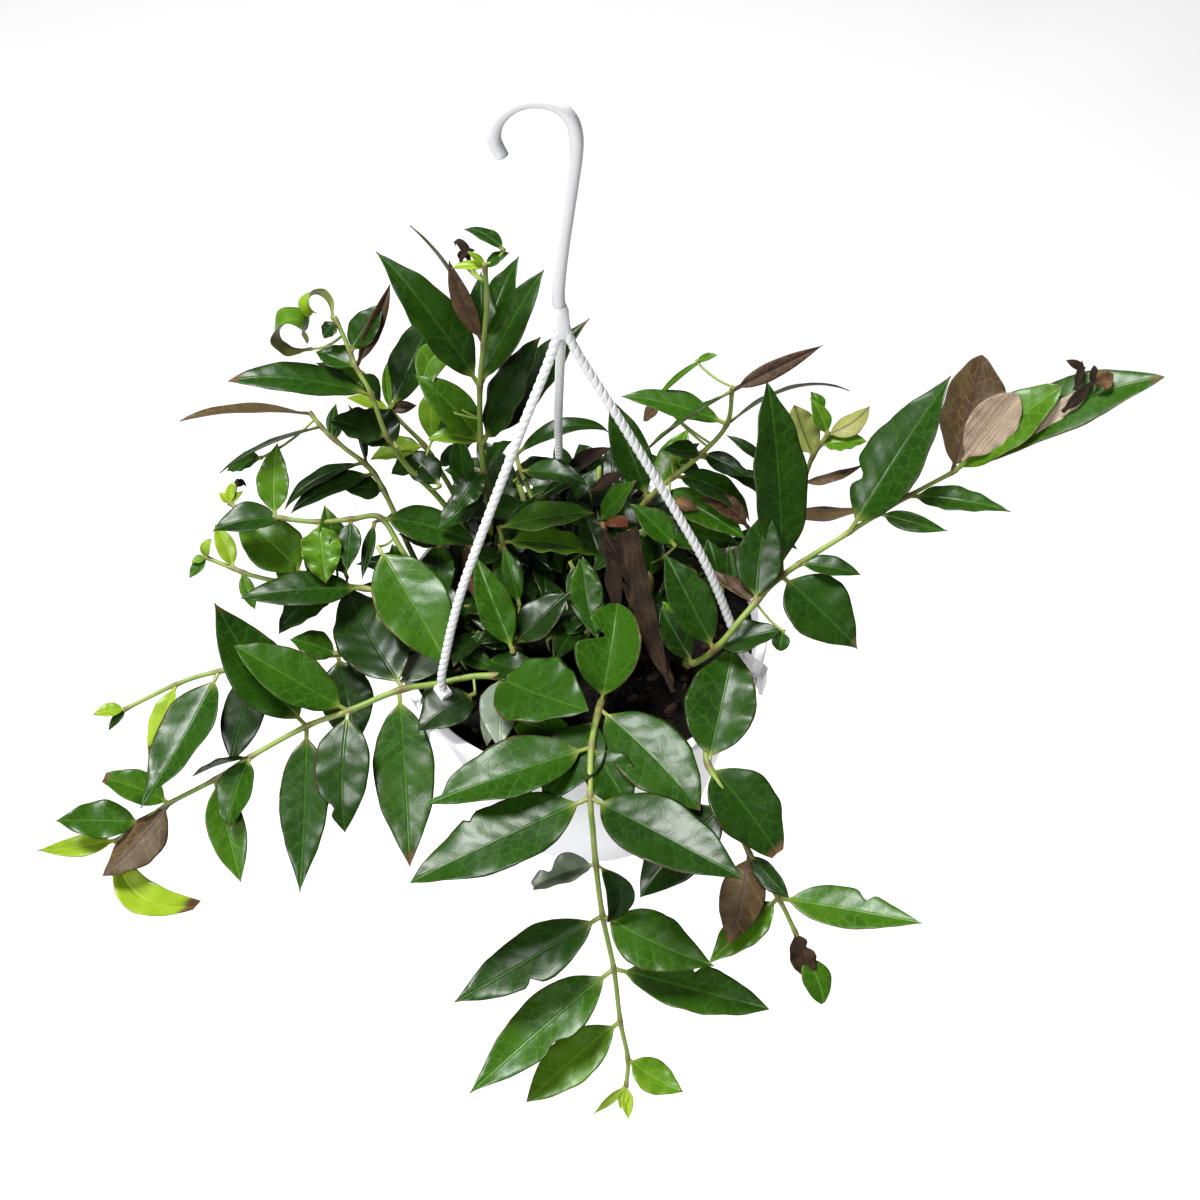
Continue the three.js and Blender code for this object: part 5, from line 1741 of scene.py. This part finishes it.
def leaf_values(name, index, shape, dice):
    """All values of a leaf from its chord, width, curl, roll and tone."""
    chord, width, bow, roll, tone = shape
    length = chord.length
    grown = min(width / GROWN_WIDTH, 1.0)
    values = {
        "heading": math.atan2(chord.y, chord.x), "pitch": math.asin(chord.z / length),
        "roll": math.radians(roll), "bow": math.radians(bow), "blade_length": length * MILLIMETRE,
        "blade_width": width * MILLIMETRE, "fold": dice.uniform(*FOLDS),
        "wave": dice.uniform(*WAVES_MM) * grown * MILLIMETRE, "wave_count": dice.uniform(*WAVE_COUNTS),
        "phase": dice.random(), "twist": dice.uniform(*TWISTS), "sweep": dice.uniform(*SWEEPS),
        "cut": 1.0, **bitten(side=0.0, place=0.5, depth=0.0, span=0.05),
        "scorch": dice.choice(SCORCHES), "leaf_number": dice.random(), "leaf_index": float(index),
        "fall": dice.uniform(*FALLS),
    }
    values.update(tone_values(tone, roll))
    values.update(MARKS.get((name, index), {}))
    peak = OUTLINE_RISE / (OUTLINE_RISE + values["fall"])
    values["swell_most"] = peak ** OUTLINE_RISE * (1 - peak) ** values["fall"]
    for turned_value in ("fold", "twist"):
        values[turned_value] = math.radians(values[turned_value])
    return values


print("each leaf has", len(LEAF_VALUES), "values")

# %% [markdown]
# ## Building the stems
# A stem is 3 mm thick at its root and tapers to 1.9 mm. It swells slightly at each place where
# leaves sit. The stem goes on down into the potting mix as a straight root. A leaf that starts away
# from its stem hangs on a thin stalk of its own.

# %% The points of a stem and its stalks
ROOT_RADIUS = 2.0
ROOT_HEIGHTS = (-22, -14, -9)
STEM_START = -6
STEM_RADIUS = 1.5
STEM_TIP_RADIUS = 0.95
STALK_RADIUS = 0.6
STALK_POINTS = 6
STALK_SAG_MM = 2
STALK_FOOT = -12
STALK_LEAN = 0.94
SAMPLES_PER_POINT = 10
KNOT_SPAN_MM = 2.4
KNOT_SWELL = 0.28
TIP_INSET = 0.1


def main_chain(stem):
    """Points, radii and knots of a stem from its root to its tip."""
    route = [Vector((x, y, rest[0] if rest else STEM_START)) for x, y, *rest in stem["route"]]
    last = len(route) - 1
    chain = route_samples(route, SAMPLES_PER_POINT)
    whole = length_of(chain)
    starts = [route_point(route, min(row[0], last - TIP_INSET)) for row in stem["leaves"]]
    points = [Vector((route[0].x, route[0].y, height)) for height in ROOT_HEIGHTS]
    radii = [ROOT_RADIUS] * len(points)
    knots = [0.0] * len(points)
    passed = 0.0
    for i, point in enumerate(chain):
        if i:
            passed += (point - chain[i - 1]).length
        nearest = min((point - start).length for start in starts)
        knot = math.exp(-(nearest / KNOT_SPAN_MM) ** 2)
        plain = STEM_RADIUS + (STEM_TIP_RADIUS - STEM_RADIUS) * passed / whole
        points.append(point)
        radii.append(plain * (1 + KNOT_SWELL * knot))
        knots.append(knot)
    return points, radii, knots, starts


def stalk_points(start, stem_points):
    """A thin stalk from the nearest part of a stem, or from the potting mix, to where a leaf starts."""
    nearest = min(stem_points, key=lambda point: (point - start).length)
    ground = Vector((start.x * STALK_LEAN, start.y * STALK_LEAN, STALK_FOOT))
    foot = nearest if (nearest - start).length < (ground - start).length else ground
    points = []
    for number in range(STALK_POINTS):
        share = number / (STALK_POINTS - 1)
        sag = Vector((0, 0, -STALK_SAG_MM * math.sin(math.pi * share)))
        points.append(foot.lerp(start, share) + sag)
    return points


print("stems are", 2 * STEM_RADIUS, "mm thick at the root")

# %% [markdown]
# The base mesh of a stem holds all its chains of points, and then one loose point for each leaf. The
# numbers of a leaf become attributes of its point, which the tree reads by their names.


# %% All stems and their leaves
def stem_base(name, stem, dice):
    """The base mesh of a stem: chains of points for the stem and stalks and a loose point per leaf."""
    points, radii, knots, starts = main_chain(stem)
    edges = [(i, i + 1) for i in range(len(points) - 1)]
    shapes = [(chord_of(*row[1:4]), *row[4:]) for row in stem["leaves"]]
    free = list(MORE_LEAVES.get(name, []))
    if name in DEEP_LEAVES:
        free += deep_rows(*DEEP_LEAVES[name], dice)
    stem_points = list(points)
    resting_from = RESTING_FROM.get(name, math.inf)
    for start, end, *rest in free:
        start = Vector(start)
        added = stalk_points(start, stem_points) if len(shapes) < resting_from else []
        edges += [(len(points) + i, len(points) + i + 1) for i in range(len(added) - 1)]
        points += added
        radii += [STALK_RADIUS] * len(added)
        knots += [0.0] * len(added)
        starts.append(start)
        shapes.append((Vector(end) - start, *rest))

    mesh = bpy.data.meshes.new(name + "_base")
    mesh.from_pydata([at_rim(*point) for point in points + starts], edges, [])
    rows = [leaf_values(name, i, shape, dice) for i, shape in enumerate(shapes)]
    for label in LEAF_VALUES:
        blank = -1.0 if label == "leaf_index" else 0.0
        values = [blank] * len(points) + [row[label] for row in rows]
        mesh.attributes.new(label, "FLOAT", "POINT").data.foreach_set("value", values)
    sizes = [radius * MILLIMETRE for radius in radii]
    for label, values in (("stem_radius", sizes), ("knot", knots)):
        padded = values + [0.0] * len(rows)
        mesh.attributes.new(label, "FLOAT", "POINT").data.foreach_set("value", padded)
    return mesh


living = {"Stem finish": STEM_FINISH, "Leaf finish": LEAF_FINISH, "Dry finish": DRY_FINISH}
withered = dict.fromkeys(living, DRY_FINISH)
total = 0
for number, (name, stem) in enumerate(STEMS.items()):
    base = stem_base(name, stem, random.Random(LEAF_SEED + number))
    piece = run_tree("leafy_" + name, base, leafy_tree, withered if name == "dry_shoot" else living)
    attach(piece, "root")
    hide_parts(name)
    total += triangles_in(piece)
print("foliage:", total, "triangles")

# %% [markdown]
# ## Floor and light
# The plant hangs against plain white, so the floor is pale and the light soft: a wide lamp overhead,
# a weaker one from the front left, and an even white surround. The surround gives little light, because
# the shade between the leaves is what gives the plant its depth, but it looks pale behind the plant.

# %% Floor, lamps and surround
FLOOR_GAP = 1.2
FLOOR_HALF = 6
LAMP_TARGET = Vector((0, 0, -0.27))
SURROUND_LIGHT = 0.14
SURROUND_SEEN = 0.8
lowest = min(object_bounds()[0][2], plain_box[0][2])
floor_finish, tree, surface = new_finish("pale_floor")
broad, fine = unevenness(tree, broad_scale=3.0, grain_scale=90.0)
set_surface(surface, {"Base Color": mixed(broad, linear("fdfdfd"), linear("f7f7f8")), "Roughness": 0.95})
floor_mesh = bpy.data.meshes.new("floor")
floor_height = lowest - FLOOR_GAP
corners = [(x * FLOOR_HALF, y * FLOOR_HALF, floor_height) for x, y in ((-1, -1), (1, -1), (1, 1), (-1, 1))]
floor_mesh.from_pydata(corners, [], [(0, 1, 2, 3)])
floor_mesh.materials.append(floor_finish)
floor = bpy.data.objects.new("floor", floor_mesh)
scene.collection.objects.link(floor)


def lamp(name, place, size, power):
    """A round soft lamp that shines at the middle of the plant."""
    data = bpy.data.lights.new(name, "AREA")
    data.shape = "DISK"
    data.size = size
    data.energy = power
    lamp_object = bpy.data.objects.new(name, data)
    lamp_object.location = place
    lamp_object.rotation_euler = (LAMP_TARGET - Vector(place)).to_track_quat("-Z", "Y").to_euler()
    scene.collection.objects.link(lamp_object)


lamp("overhead", (-0.9, 0.9, 3.6), size=1.5, power=290)
lamp("front_left", (-1.6, -2.6, 2.4), size=1.1, power=110)
world = bpy.data.worlds.new("surround")
scene.world = world
world.use_nodes = True
tree = world.node_tree
plain = (1, 1, 1, 1)
dim = add(tree, "ShaderNodeBackground", {"Color": plain, "Strength": SURROUND_LIGHT})
bright = add(tree, "ShaderNodeBackground", {"Color": plain, "Strength": SURROUND_SEEN})
seen = add(tree, "ShaderNodeLightPath", out="Is Camera Ray")
surround = add(tree, "ShaderNodeMixShader", {0: seen, 1: dim, 2: bright})
feed(tree, tree.nodes["World Output"].inputs["Surface"], surround)
scene.view_settings.view_transform = "Standard"
print("floor at", round(floor_height, 3), "m")

# %% [markdown]
